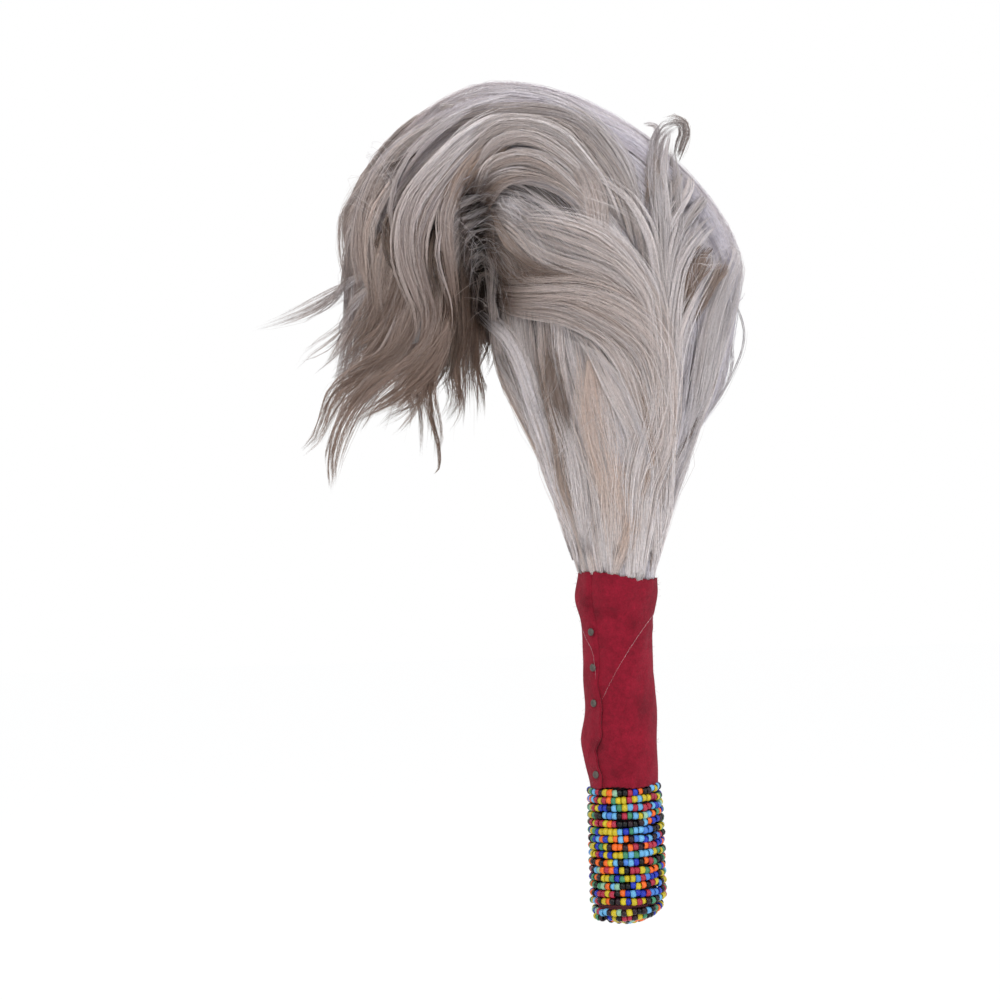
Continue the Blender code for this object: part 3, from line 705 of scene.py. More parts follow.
def model_bead(length, width):
    """One drawn-glass bead: a ring whose wall is flattened to a barrel, with its hole along Z."""
    deselect_all()
    bpy.ops.mesh.primitive_torus_add(major_segments=10, minor_segments=6, major_radius=0.335 * width,
                                     minor_radius=0.165 * width)
    bead = bpy.context.object
    bpy.ops.object.mode_set(mode="EDIT")
    bpy.ops.mesh.select_all(action="SELECT")
    bpy.ops.transform.resize(value=(1.0, 1.0, length / (0.33 * width)), center_override=(0.0, 0.0, 0.0))
    bpy.ops.object.mode_set(mode="OBJECT")
    for vertex in bead.data.vertices:
        out = math.hypot(vertex.co.x, vertex.co.y)
        if abs(vertex.co.z) < 0.45 * length and out > 0.4 * width:
            vertex.co.z *= 1.25
    bpy.ops.object.shade_smooth()
    return bead


def bead_climb(angle, pitch):
    """Rise of the thread: level over the left and front of the grip, climbing on the right and behind to the
    next row. The angle runs from the left through the front."""
    share = np.interp(math.degrees(angle), (0.0, 105.0, 150.0, 185.0, 270.0, 360.0),
                      (0.0, 0.0, 0.2, 0.42, 0.8, 1.0))
    return pitch * share


def rows_bulge(angle, number):
    """How far the rows stand out where they crowd together, at the right, and a little at the left."""
    turn = math.degrees(angle)
    return MM * min(number / 4.0, 1.0) * (1.0 * math.exp(-((turn - 172.0) / 38.0) ** 2)
                                          + 0.3 * math.exp(-(min(turn, 360.0 - turn) / 40.0) ** 2))


def string_places(rows, pitch, count, rng, settings):
    """Place and angle of every bead of the rows, which are (radius, height) from the top down."""
    uneven = settings.unevenness
    places = []
    for number, (radius, height) in enumerate(rows):
        start = rng.uniform(-0.2, 0.2)
        last = int(count * 0.78) if number == 0 else count
        for k in range(last):
            angle = 2 * math.pi * (k + start + 0.3) / count + uneven * rng.normal(0, 0.008)
            angle = max(angle, 0.0)
            lift = bead_climb(min(angle, 2 * math.pi), pitch)
            lift = min(lift, 0.60 * pitch) if number == 0 else lift
            crowded = 1.0 + 1.6 * math.exp(-((math.degrees(angle) - 145.0) / 30.0) ** 2)
            slack = (0.16 * MM * math.sin(3 * angle + 1.7 * number) * crowded
                     + uneven * rng.normal(0, 0.10 * MM) * crowded)
            out = radius + uneven * rng.normal(0, 0.12 * MM) + rows_bulge(angle, number)
            places.append((out, height + lift + slack, angle))
    return places


def butt_places(rings, count, rng):
    places = []
    outer = rings[0][0]
    for radius, height in rings:
        around = max(int(round(count * radius / outer)), 5)
        start = rng.uniform(0, 1)
        for k in range(around):
            angle = 2 * math.pi * (k + start) / around
            sag = math.cos(angle - math.radians(50.0))  # the rings hang lower at the front left
            places.append((radius + rng.normal(0, 0.15 * MM), height - 1.2 * MM * sag * (radius / outer)
                           + rng.normal(0, 0.18 * MM), angle))
    low = rings[0][1]
    places += [(outer + (0.3 - 0.3 * k) * MM, low - (3.2 + 0.25 * k) * MM, math.radians(17.0 + 8.5 * k))
               for k in range(3)]  # beads that hang loose below the outer ring
    return places


def string_beads(name, places, bead, finish, rng, settings):
    """Copies the bead to every place on its thread, each with its own glass."""
    colours = [linear(code) for code, _ in GLASS]
    shares = np.array([often for _, often in GLASS], float)
    picks = []
    for radius, height, angle in places:
        often = shares.copy()
        for middle, level, wide, tall, favoured, factor in ZONES:
            near = math.exp(-((math.degrees(angle) - middle) / wide) ** 2
                            - ((height / MM - level) / tall) ** 2)
            often[list(favoured)] *= 1.0 + (factor - 1.0) * near
        picks.append(rng.choice(len(GLASS), p=often / often.sum()))
    form = bmesh.new()
    glass = form.verts.layers.float_color.new("bead_glass")
    longest = max(math.hypot(v.co.x, v.co.y) for v in bead.data.vertices)
    for (radius, height, angle), pick_number in zip(places, picks):
        known = len(form.verts)
        form.from_mesh(bead.data)
        form.verts.ensure_lookup_table()
        size = 1.0 + settings.unevenness * rng.normal(0, 0.035)
        long = 1.0 + settings.unevenness * rng.normal(0, 0.07)
        along = Matrix.Rotation(math.pi / 2, 4, "X") @ Matrix.Diagonal((size, size, long, 1.0))
        tilt = Matrix.Rotation(settings.unevenness * rng.normal(0, 0.06), 4, "Y")
        tilt = tilt @ Matrix.Rotation(settings.unevenness * rng.normal(0, 0.07), 4, "X")
        spin = Matrix.Rotation(rng.uniform(0, 6.28), 4, "Z")
        place = Matrix.Rotation(math.pi + angle, 4, "Z") @ Matrix.Translation((radius, 0.0, height))
        move = place @ tilt @ along @ spin
        tint = np.clip(np.array(colours[pick_number]) * rng.uniform(0.88, 1.10), 0.0, 1.0)
        for vertex in form.verts[known:]:
            hole = 1.0 - math.hypot(vertex.co.x, vertex.co.y) / longest
            vertex[glass] = (*tint, hole * 1.6)
            vertex.co = move @ vertex.co
        if pick_number == len(GLASS) - 1:  # a small pale bead caught on a dark one
            known = len(form.verts)
            form.from_mesh(bead.data)
            form.verts.ensure_lookup_table()
            small = place @ Matrix.Translation((0.36 * longest, 0.0, 0.0)) @ along @ Matrix.Scale(0.42, 4)
            for vertex in form.verts[known:]:
                vertex[glass] = (*CREAM, 0.0)
                vertex.co = small @ vertex.co
    for face in form.faces:
        face.smooth = True
    return form_piece(form, name, finish)


def lay_thread(name, runs, width, material):
    """A thread through points, as one curve per run."""
    curve = bpy.data.curves.new(name, "CURVE")
    curve.dimensions = "3D"
    curve.bevel_depth = width / 2
    curve.bevel_resolution = 1
    curve.use_fill_caps = True
    for run in runs:
        spline = curve.splines.new("POLY")
        spline.points.add(len(run) - 1)
        for point, place in zip(spline.points, run):
            point.co = (*place, 1.0)
    piece = link_new(name, curve)
    pick(piece)
    bpy.ops.object.convert(target="MESH")
    bpy.ops.object.mode_set(mode="EDIT")
    bpy.ops.mesh.select_all(action="SELECT")
    bpy.ops.mesh.remove_doubles(threshold=1e-6)
    bpy.ops.mesh.normals_make_consistent(inside=False)
    bpy.ops.object.mode_set(mode="OBJECT")
    bpy.data.curves.remove(curve)
    return name_piece(piece, name, material)


def ring_of(name, bead_width):
    """Radius of the thread and height of a ring of beads in the frame."""
    low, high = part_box(name)
    return (high.x - low.x) / 2 - bead_width / 2, (high.z + low.z) / 2


CLOTH_RADIUS = 12.6  # millimetres
COTTON = 0.5 * MM
CLOTH_PROFILE = (  # radius and height in millimetres down the grip and in over its butt
    (CLOTH_RADIUS, 30.9), (CLOTH_RADIUS, -26.9), (12.4, -28.0), (11.6, -28.8), (10.0, -29.4), (7.4, -29.8),
    (4.0, -30.1), (0.3, -30.2))


class WHISK_OT_underlay(bpy.types.Operator):
    """Wraps the cotton cloth under the beads round the grip and gathers it over the butt"""
    bl_idname = "whisk.underlay"
    bl_label = "Grip Cloth"

    def execute(self, context):
        deselect_all()
        bpy.ops.mesh.primitive_grid_add(x_subdivisions=72, y_subdivisions=48, size=2.0)
        cloth = bpy.context.object
        profile = np.array(CLOTH_PROFILE) * MM
        walked = np.concatenate([[0.0], np.cumsum(np.linalg.norm(np.diff(profile, axis=0), axis=1))])
        for vertex in cloth.data.vertices:
            way = (1 - vertex.co.y) / 2 * walked[-1]
            angle = math.radians(179.7) * vertex.co.x  # from the front, the edges sewn together behind
            radius, height = (float(np.interp(way, walked, profile[:, k])) for k in (0, 1))
            share = min(radius / (CLOTH_RADIUS * MM), 1.0)
            gather = 0.15 * MM * math.sin(13.0 * angle) * math.sin(math.pi * share)
            vertex.co = Vector((radius * math.sin(angle), -radius * math.cos(angle), height - gather))
        solid = cloth.modifiers.new("Cotton", "SOLIDIFY")
        solid.thickness = COTTON
        solid.offset = 0.0
        bpy.ops.object.modifier_apply(modifier=solid.name)
        bpy.ops.object.shade_smooth()
        name_piece(cloth, "grip_cloth", underlay_finish())
        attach(cloth, "handle")
        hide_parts("bead_underlay")
        return {"FINISHED"}


BEAD_LIFT = 1.38 * MM  # the rows are pushed up against the sleeve


class WHISK_OT_beads(bpy.types.Operator):
    """Strings the glass beads round the grip and over its butt"""
    bl_idname = "whisk.beads"
    bl_label = "Beads"

    def execute(self, context):
        settings = context.scene.whisk_beads
        rng = np.random.default_rng(5)
        width = settings.bead_width
        rows = sorted((ring_of(f"bead_row_{k:02d}", width) for k in range(1, 16)), key=lambda row: -row[1])
        rings = [ring_of(f"butt_bead_ring_{k}", width) for k in range(1, 6)]
        rings.sort(key=lambda ring: -ring[0])
        pitch = rows[0][1] - rows[1][1]
        rows = [(radius, height + BEAD_LIFT) for radius, height in rows]
        rings = [(radius - 0.5 * MM, height + (2.8 - 0.5 * k) * MM)
                 for k, (radius, height) in enumerate(rings)]
        finish = bead_finish()
        bead = model_bead(settings.bead_length, width)
        count = settings.beads_per_row
        row_places = string_places(rows, pitch, count, rng, settings)
        grip = string_beads("grip_beads", row_places, bead, finish, rng, settings)
        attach(grip, "handle")
        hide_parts(*(f"bead_row_{k:02d}" for k in range(1, 16)))
        ring_places = butt_places(rings, count - 1, rng)
        butt = string_beads("butt_beads", ring_places, bead, finish, rng, settings)
        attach(butt, "handle")
        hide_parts(*(f"butt_bead_ring_{k}" for k in range(1, 6)))
        bpy.data.objects.remove(bead)
        runs = []
        for number, (radius, height) in enumerate(rows):
            turns = np.linspace(0.0, 2 * math.pi * (0.8 if number == 0 else 1.0), 60)
            outs = [radius + float(rows_bulge(a, number)) for a in turns]
            most = 0.6 * pitch if number == 0 else math.inf
            runs.append([(-out * math.cos(a), -out * math.sin(a), height + min(bead_climb(a, pitch), most))
                         for a, out in zip(turns, outs)])
        thread = lay_thread("bead_thread", runs, 0.7 * MM, thread_finish())
        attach(thread, "handle")
        return {"FINISHED"}


# Height in millimetres of points on the flap's free edge, and their angle in degrees from the front leftwards.
FLAP_EDGE = (
    (26.0, 40.5), (32.0, 38.5), (36.5, 45.5), (43.0, 49.0), (48.5, 36.0), (54.6, 36.5), (61.0, 33.5),
    (65.0, 37.5), (71.0, 43.5), (78.6, 39.5), (88.0, 39.5), (97.0, 41.5), (104.0, 44.0), (112.0, 43.0),
    (122.0, 42.0))
TACK_ANGLE = math.radians(48.0)
LAP_END = math.radians(437.0)  # hidden end of the felt strip, past a full turn
MOUTH_SLOPE = 0.17
HIDE_RADIUS = 13.1 * MM  # the tail's skin, on which the sleeve lies
# Place and reach of the felt's dark spots in millimetres: those over the dents near the mouth are painted
# shadow, the lower ones stains.
STAINS_AND_DENT_SHADOWS = ((-9.8, -12.8, 102.0, 5.0), (-3.0, -16.5, 102.5, 4.0), (-12.0, -11.5, 45.0, 6.0),
          (6.0, -15.0, 97.0, 6.0), (-13.5, -9.0, 108.0, 7.0), (10.0, -12.5, 61.0, 7.0),
          (-4.0, -15.0, 33.0, 5.0))


# Dents over the thread binding: depth share, angle and reach in degrees, height and reach in millimetres.
DENTS = ((1.0, 17.0, 6.0, 102.5, 2.3), (0.8, -4.0, 7.0, 102.0, 2.0), (0.6, 33.0, 6.0, 98.5, 2.4))


def smooth_share(value):
    value = np.clip(value, 0.0, 1.0)
    return value * value * (3.0 - 2.0 * value)


def hump(value, reach):
    return np.exp(-(value / reach) ** 2)


def sleeve_radius(angle, z, cloth, foot):
    """Radius of the middle of the felt at an angle from the front through the left side and on round."""
    height = (z - foot) / (MOUTH_Z - foot)
    ease = np.interp(height, (0.0, 0.33, 0.6, 0.74, 1.0), (0.9, 0.9, 0.6, 0.9, 0.9)) * MM
    radius = HIDE_RADIUS + ease + cloth / 2
    past = (angle - TACK_ANGLE - math.radians(28.0)) / math.radians(34.0)
    lift = (cloth + 0.3 * MM) * (1.0 - np.clip(past, 0.0, 1.0))
    turn = (angle + math.pi) % (2 * math.pi) - math.pi  # from the front, the left positive
    left = smooth_share((turn - math.radians(35.0)) / math.radians(40.0)) * smooth_share(
        (math.radians(150.0) - turn) / math.radians(40.0))
    bulge = 2.2 * MM * (hump(z - foot - 20.0 * MM, 9.0 * MM) + hump(z - foot - 81.0 * MM, 9.0 * MM))
    bulge = bulge * hump(turn - math.radians(88.0), math.radians(24.0))
    flare = 2.1 * MM * smooth_share((z - 97.0 * MM) / (15.0 * MM)) * (1.0 - 0.55 * left)
    flare = flare * smooth_share((z - 96.0 * MM) / (3.0 * MM))
    crease_z = 99.5 * MM + 1.4 * MM * np.sin(2.2 * turn + 0.6)
    crease = -1.2 * MM * hump(z - crease_z, 1.9 * MM)
    crease = crease * smooth_share((math.radians(28.0) - turn) / math.radians(14.0))
    crease = crease * (0.65 + 0.35 * np.sin(9.0 * turn + 0.8)) * smooth_share((turn + 2.2) / 0.5)
    dent = -0.9 * MM * sum(
        depth * hump(turn - math.radians(at), math.radians(wide)) * hump(z - level * MM, tall * MM)
        for depth, at, wide, level, tall in DENTS)
    pull = -1.3 * MM * left * hump(z - foot, 7.5 * MM)
    ripple = 0.22 * MM * np.sin(3 * turn + z / (9.0 * MM))
    ripple = ripple + 0.16 * MM * np.sin(5 * turn - z / (6.0 * MM) + 1.0)
    ripple = ripple + 0.10 * MM * np.sin(11 * turn + z / (3.1 * MM))
    ripple = ripple * smooth_share(np.abs(turn - TACK_ANGLE) / math.radians(14.0))
    narrow = 0.8 * MM * hump(z - 85.0 * MM, 10.0 * MM) * smooth_share((-20.0 - np.degrees(turn)) / 50.0)
    bulge = bulge + 0.5 * MM * left * hump(z - 70.0 * MM, 14.0 * MM)
    radius = radius + lift + bulge + flare + crease + dent + pull + ripple - narrow
    bound = 13.35 + 0.55 * hump(z - 100.0 * MM, 6.0 * MM)  # the skin, with its binding
    return np.maximum(radius, bound * MM + cloth / 2)


def felt_finish(settings):
    """Worn wool felt: matted fibres with a soft nap, darker where dirty, with painted shadow in its dents,
    paler where rubbed.
    """
    material, tree = new_finish("worn_wool_felt")
    place = node(tree, "ShaderNodeTexCoord").outputs["Object"]
    matted = node(tree, "ShaderNodeTexNoise", {"Vector": place, "Scale": 1300.0, "Detail": 4.0})
    fibre_map = node(tree, "ShaderNodeMapping", {"Vector": place, "Scale": (1.0, 1.0, 0.35),
                                                 "Rotation": (0.3, 0.5, 0.0)})
    fibres = node(tree, "ShaderNodeTexNoise", {"Vector": fibre_map, "Scale": 3200.0, "Detail": 3.0,
                                               "Distortion": 1.2})
    soil = node(tree, "ShaderNodeTexNoise", {"Vector": place, "Scale": 70.0, "Detail": 5.0})
    felt = settings.felt_colour
    dark, light = [0.62 * c for c in felt], [min(1.22 * c, 1.0) for c in felt]
    nap = node(tree, "ShaderNodeMix", {0: matted, 6: shader_colour(dark), 7: shader_colour(light)},
               data_type="RGBA")
    blots = node(tree, "ShaderNodeTexNoise", {"Vector": place, "Scale": 420.0, "Detail": 3.0})
    both = node(tree, "ShaderNodeMix", {0: 0.45, 2: soil, 3: blots})
    soil_and_dent_shade = node(tree, "ShaderNodeMapRange", {0: both, 1: 0.36, 2: 0.64, 3: 0.70, 4: 1.12})
    # dark spots: painted shadow in the dents near the mouth, stains lower down
    for x, y, z, reach in STAINS_AND_DENT_SHADOWS:
        away = node(tree, "ShaderNodeVectorMath", {0: place, 1: (x * MM, y * MM, z * MM)},
                    operation="DISTANCE")
        near = node(tree, "ShaderNodeMapRange", {
            0: away.outputs["Value"], 1: 0.0, 2: reach * MM, 3: 0.66, 4: 1.0}, interpolation_type="SMOOTHSTEP")
        soil_and_dent_shade = node(tree, "ShaderNodeMath", {0: soil_and_dent_shade, 1: near}, operation="MULTIPLY")
    darkened = node(tree, "ShaderNodeMix", {0: 1.0, 6: nap.outputs[2], 7: soil_and_dent_shade}, data_type="RGBA",
                  blend_type="MULTIPLY")
    rough = node(tree, "ShaderNodeMath", {0: matted, 1: fibres}, operation="ADD")
    bump = node(tree, "ShaderNodeBump", {"Height": rough, "Strength": 0.7, "Distance": 0.0006})
    finish_with(tree, node(tree, "ShaderNodeBsdfPrincipled", {
        "Base Color": darkened.outputs[2], "Roughness": 0.95, "Specular IOR Level": 0.15, "Sheen Weight": 0.15,
        "Sheen Roughness": 0.5, "Sheen Tint": shader_colour("#F0A0A8"), "Normal": bump}))
    return material


def felt_point(share, rise, settings, foot):
    """A point of the felt strip's middle: share of the way round from the flap's edge, and of the way up."""
    rows = np.array(FLAP_EDGE)
    z = foot + (MOUTH_Z - foot) * rise
    edge = np.radians(np.interp(z / MM, rows[:, 0], rows[:, 1]))
    angle = edge + (LAP_END - edge) * share
    slope_x = -14.1 * MM * math.sin(angle)
    ragged = 0.28 * MM * math.sin(23.0 * angle) + 0.2 * MM * math.sin(61.0 * angle + 1.0)
    top = MOUTH_Z - MOUTH_SLOPE * slope_x + ragged + 0.5 * MM * math.sin(3.0 * angle + 0.4)
    bottom = foot + 0.35 * MM * math.sin(5.0 * angle) + 0.15 * MM * math.sin(37.0 * angle)
    z = bottom + (top - bottom) * rise
    radius = float(sleeve_radius(angle, z, settings.cloth_thickness, foot))
    free = float(smooth_share((z - 58.0 * MM) / (34.0 * MM)))  # the flap's edge is felted down at the top
    radius += 0.35 * MM * math.exp(-(share / 0.012) ** 2) * math.sin(z / (4.2 * MM)) ** 2 * (1.0 - free)
    radius -= free * 1.1 * settings.cloth_thickness * math.exp(-(share / 0.015) ** 2)
    return Vector((-radius * math.sin(angle), -radius * math.cos(angle), z))


class WHISK_OT_sleeve(bpy.types.Operator):
    """Wraps the felt sleeve round the tail's root, with its fuzz"""
    bl_idname = "whisk.sleeve"
    bl_label = "Felt Sleeve"

    def execute(self, context):
        settings = context.scene.whisk_sleeve
        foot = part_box("sleeve_wrap")[0].z
        deselect_all()
        bpy.ops.mesh.primitive_grid_add(x_subdivisions=180, y_subdivisions=96, size=2.0)
        sleeve = bpy.context.object
        for vertex in sleeve.data.vertices:
            vertex.co = felt_point((vertex.co.x + 1) / 2, (vertex.co.y + 1) / 2, settings, foot)
        solid = sleeve.modifiers.new("Felt", "SOLIDIFY")
        solid.thickness = settings.cloth_thickness
        solid.offset = 0.0
        solid.use_even_offset = True
        bpy.ops.object.modifier_apply(modifier=solid.name)
        bpy.ops.object.shade_smooth()
        felt = felt_finish(settings)
        name_piece(sleeve, "felt_sleeve", felt)
        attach(sleeve, "handle")
        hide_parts("sleeve_wrap")
        self.add_fuzz(settings, foot, sleeve)
        self.add_stray_hairs(context.scene.whisk_hair, foot)
        return {"FINISHED"}

    def add_stray_hairs(self, settings, foot):
        """Pale hairs from the tail that cling to the felt."""
        rng = np.random.default_rng(37)
        hair = Strands()
        for pixels in (((656, 610), (641, 631), (623, 659), (611, 681), (602, 701)),
                       ((578, 619), (586, 637), (593, 654), (596, 681))):
            path = []
            for u, v in pixels:
                flat = at_pixel(u, v, -15.0 * MM)
                angle = math.asin(max(min(-flat.x / (17.3 * MM), 1.0), -1.0))
                radius = float(sleeve_radius(angle, flat.z, 1.9 * MM, foot)) + 0.4 * MM
                path.append((-radius * math.sin(angle), -radius * math.cos(angle), flat.z))
            path, _ = even_path(np.array(path), 14)
            hair.add([path], [0.07 * MM * taper(14, 0.6, 0.5)], [0.9], [rng.normal(0, 0.1)],
                     [np.full(14, 0.2)])
        piece = hair.make("sleeve_hairs", hair_finish(settings))
        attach(piece, "handle")

    def add_fuzz(self, settings, foot, sleeve):
        """Loose wool fibres, thickest along the raw edges."""
        rng = np.random.default_rng(31)
        form = bmesh.new()
        form.from_mesh(sleeve.data)
        form.faces.ensure_lookup_table()
        picks = rng.choice(len(form.faces), 2600)
        fuzz = Strands()
        low, high = foot, MOUTH_Z
        for number in picks:
            face = form.faces[int(number)]
            middle, out = face.calc_center_median(), face.normal
            outward = out.x * middle.x + out.y * middle.y
            edge = min(abs(middle.z - low), abs(high - middle.z)) < 4.0 * MM
            if outward < 0.0 and not edge or (not edge and rng.random() < 0.35):
                continue
            length = settings.fuzz_length * rng.uniform(0.5, 1.3) * (1.2 if edge else 0.8)
            away = Vector(rng.normal(0, 0.8, 3)) + out * 0.8
            curl = Vector(rng.normal(0, 0.5, 3))
            path = [middle + out * -0.05 * MM + (away * t + curl * t * t) * length
                    for t in (0.0, 0.35, 0.7, 1.0)]
            width = 0.07 * MM * np.array([0.6, 1.0, 0.7, 0.0])
            fuzz.paths.append(np.array(path))
            fuzz.widths.append(width)
            fuzz.tones.append(np.zeros((4, 3)))
        form.free()
        piece = fuzz.make("felt_fuzz", felt_finish(settings))
        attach(piece, "handle")


def aged_hair(tree, settings, tone, shade):
    """Colour of hair from its shade, its reach, and its warmth, blond above nothing and bluish below."""
    parts = node(tree, "ShaderNodeSeparateXYZ", {"Vector": tone.outputs["Vector"]})
    grey = node(tree, "ShaderNodeMix", {0: shade or parts, 6: shader_colour(settings.grey_colour),
                                        7: shader_colour(settings.light_colour)}, data_type="RGBA")
    warm = node(tree, "ShaderNodeMix", {0: parts.outputs[1], 6: grey.outputs[2],
                                        7: shader_colour(settings.warm_colour)}, data_type="RGBA")
    chill = node(tree, "ShaderNodeMath", {0: parts.outputs[1], 1: -1.0}, operation="MULTIPLY", use_clamp=True)
    cool = node(tree, "ShaderNodeMix", {0: chill, 6: warm.outputs[2],
                                        7: shader_colour(settings.cool_and_sky_lit_colour)}, data_type="RGBA")
    worn = node(tree, "ShaderNodeMapRange", {0: parts.outputs[2], 1: 0.34, 2: 0.92, 3: 0.0, 4: 1.0})
    aged = node(tree, "ShaderNodeMix", {0: worn, 6: cool.outputs[2],
                                        7: shader_colour(settings.tip_colour)}, data_type="RGBA")
    dim = node(tree, "ShaderNodeMapRange", {0: parts, 1: -0.6, 2: 1.0, 3: 0.14, 4: 1.06})
    dimmed = node(tree, "ShaderNodeMix", {0: 1.0, 6: aged.outputs[2], 7: dim},
                  data_type="RGBA", blend_type="MULTIPLY")
    return dimmed.outputs[2]


def hair_finish(settings):
    """Long dry animal hair: pale and satin, duller and browner towards the worn tips."""
    material, tree = new_finish("tail_hair_strands")
    tone = node(tree, "ShaderNodeAttribute", attribute_name="hair_tone")
    place = node(tree, "ShaderNodeTexCoord").outputs["Object"]
    mottle = node(tree, "ShaderNodeTexNoise", {"Vector": place, "Scale": 900.0, "Detail": 2.0})
    depth = node(tree, "ShaderNodeMapRange", {0: mottle, 1: 0.3, 2: 0.7, 3: 0.86, 4: 1.06})
    tinted = node(tree, "ShaderNodeMix", {0: 1.0, 6: aged_hair(tree, settings, tone, None), 7: depth},
                  data_type="RGBA", blend_type="MULTIPLY")
    finish_with(tree, node(tree, "ShaderNodeBsdfPrincipled", {
        "Base Color": tinted.outputs[2], "Roughness": 0.55, "IOR": 1.55, "Specular IOR Level": 0.28,
        "Subsurface Weight": 0.3, "Subsurface Radius": (1.0, 0.85, 0.75), "Subsurface Scale": 0.0007}))
    return material


def body_finish(settings):
    """Hair packed side by side in a lock: streaks as fine as the hairs, with painted shade darker between
    them.
    """
    material, tree = new_finish("packed_hair")
    tone = node(tree, "ShaderNodeAttribute", attribute_name="hair_tone")
    first = node(tree, "ShaderNodeSeparateXYZ", {"Vector": tone.outputs["Vector"]})
    place = node(tree, "ShaderNodeUVMap", uv_map="flow")
    fine = node(tree, "ShaderNodeMapping", {"Vector": place, "Scale": (3.2, 0.045, 1.0)})
    hairs = node(tree, "ShaderNodeTexNoise", {"Vector": fine, "Scale": 1.0, "Detail": 3.0})
    broad = node(tree, "ShaderNodeMapping", {"Vector": place, "Scale": (0.7, 0.02, 1.0)})
    tufts = node(tree, "ShaderNodeTexNoise", {"Vector": broad, "Scale": 1.0, "Detail": 2.0})
    mixed = node(tree, "ShaderNodeMath", {0: first, 1: tufts}, operation="MULTIPLY")
    doubled = node(tree, "ShaderNodeMath", {0: mixed, 1: 1.8}, operation="MULTIPLY")
    aged = aged_hair(tree, settings, tone, doubled)
    # painted shade between the hairs
    depth = node(tree, "ShaderNodeMapRange", {0: hairs, 1: 0.36, 2: 0.62, 3: 0.70, 4: 1.0})
    streaked = node(tree, "ShaderNodeMix", {0: 1.0, 6: aged, 7: depth},
                    data_type="RGBA", blend_type="MULTIPLY")
    bump = node(tree, "ShaderNodeBump", {"Height": hairs, "Strength": 0.6, "Distance": 0.0005})
    finish_with(tree, node(tree, "ShaderNodeBsdfPrincipled", {
        "Base Color": streaked.outputs[2], "Roughness": 0.5, "Specular IOR Level": 0.3, "Normal": bump}))
    return material


def core_finish(settings):
    """Hair deep inside the tail, seen only between the outer locks: the same hair, darkened by painted shadow,
    paler towards the root.
    """
    material, tree = new_finish("inner_hair")
    place = node(tree, "ShaderNodeUVMap", uv_map="flow")
    scaled = node(tree, "ShaderNodeMapping", {"Vector": place, "Scale": (4.0, 260.0, 1.0)})
    streak = node(tree, "ShaderNodeTexNoise", {"Vector": scaled, "Scale": 1.0, "Detail": 3.0})
    dark = shader_colour([0.20 * c for c in settings.tip_colour])
    pale = shader_colour([0.40 * c for c in settings.light_colour])
    colour = node(tree, "ShaderNodeMix", {0: streak, 6: dark, 7: pale}, data_type="RGBA")
    parts = node(tree, "ShaderNodeSeparateXYZ", {"Vector": place})
    root = node(tree, "ShaderNodeMapRange", {0: parts, 1: 0.22, 2: 0.36, 3: 1.0, 4: 0.0})
    lit = node(tree, "ShaderNodeMix", {
        0: streak, 6: shader_colour([0.55 * c for c in settings.grey_colour]),
        7: shader_colour([0.8 * c for c in settings.light_colour])}, data_type="RGBA")
    colour = node(tree, "ShaderNodeMix", {0: root, 6: colour.outputs[2], 7: lit.outputs[2]},
                  data_type="RGBA")
    bump = node(tree, "ShaderNodeBump", {"Height": streak, "Strength": 0.6, "Distance": 0.0008})
    finish_with(tree, node(tree, "ShaderNodeBsdfPrincipled", {
        "Base Color": colour.outputs[2], "Roughness": 0.7, "Normal": bump}))
    return material


def bend_at_mouth(piece):
    """Bakes the piece's placement into its mesh."""
    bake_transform(piece)
    return piece


def core_mesh(name, share, first, last, material, turns=40, rows=70):
    """A closed body inside the flow, with a UV map that runs along the hair."""
    at = np.linspace(first, last, rows)
    fade = np.clip((last - at) / 1.8, 0.0, 1.0) ** 0.5
    form = bmesh.new()
    flow_map = form.loops.layers.uv.new("flow")
    loops = []
    for a, f in zip(at, fade):
        turn = np.linspace(0.0, 2 * math.pi, turns, endpoint=False)
        wave = 1.0 + 0.03 * np.sin(5 * turn + a) + 0.02 * np.sin(11 * turn - 2 * a)
        ring = sunk(flow_point(np.full(turns, a), share * max(f, 0.02) * wave, turn))
        loops.append([form.verts.new(p) for p in ring])
    loft(form, flow_map, loops, lambda i, j: (i / rows, j / turns))
    bmesh.ops.recalc_face_normals(form, faces=form.faces)
    return form_piece(form, name, material)


class WHISK_OT_inner_hair(bpy.types.Operator):
    """Adds the closed inside of the tail, under the strands"""
    bl_idname = "whisk.inner_hair"
    bl_label = "Inner Hair"

    def execute(self, context):
        finish = core_finish(context.scene.whisk_hair)
        bend_at_mouth(core_mesh("inner_hair", 0.86, 0.1, LAST_KNOT - 3.0, finish))
        # A dark ellipsoid at the back of the hollow, in the inner hair's painted shadow, closes it from
        # behind.
        deselect_all()
        bpy.ops.mesh.primitive_uv_sphere_add(segments=32, ring_count=20, radius=1.0)
        curtain = bpy.context.object
        curtain.data.uv_layers[0].name = "flow"
        curtain.scale = (10 * MM, 8 * MM, 21 * MM)
        curtain.location = (-56 * MM, 14 * MM, 242 * MM)
        bpy.ops.object.transform_apply()
        bpy.ops.object.shade_smooth()
        name_piece(curtain, "hollow_back", finish)
        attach(curtain, "tail")
        return {"FINISHED"}


def flow_lock(at, turn, share):
    """Guide, way out and width of one lock along the flow, for a turn of 0.1 on each side."""
    guide = flow_point(at, share, turn)
    outs = unit(guide - flow_point(at, share * 0.7, turn))
    wide = np.linalg.norm(flow_point(at, share, turn + 0.1) - flow_point(at, share, turn - 0.1), axis=1)
    return guide, outs, wide


def wear_at(knot):
    """How worn the hair is at a knot of the flow, from 0 at the root to 1 at the tips."""
    return (knot / LAST_KNOT) ** 2.4


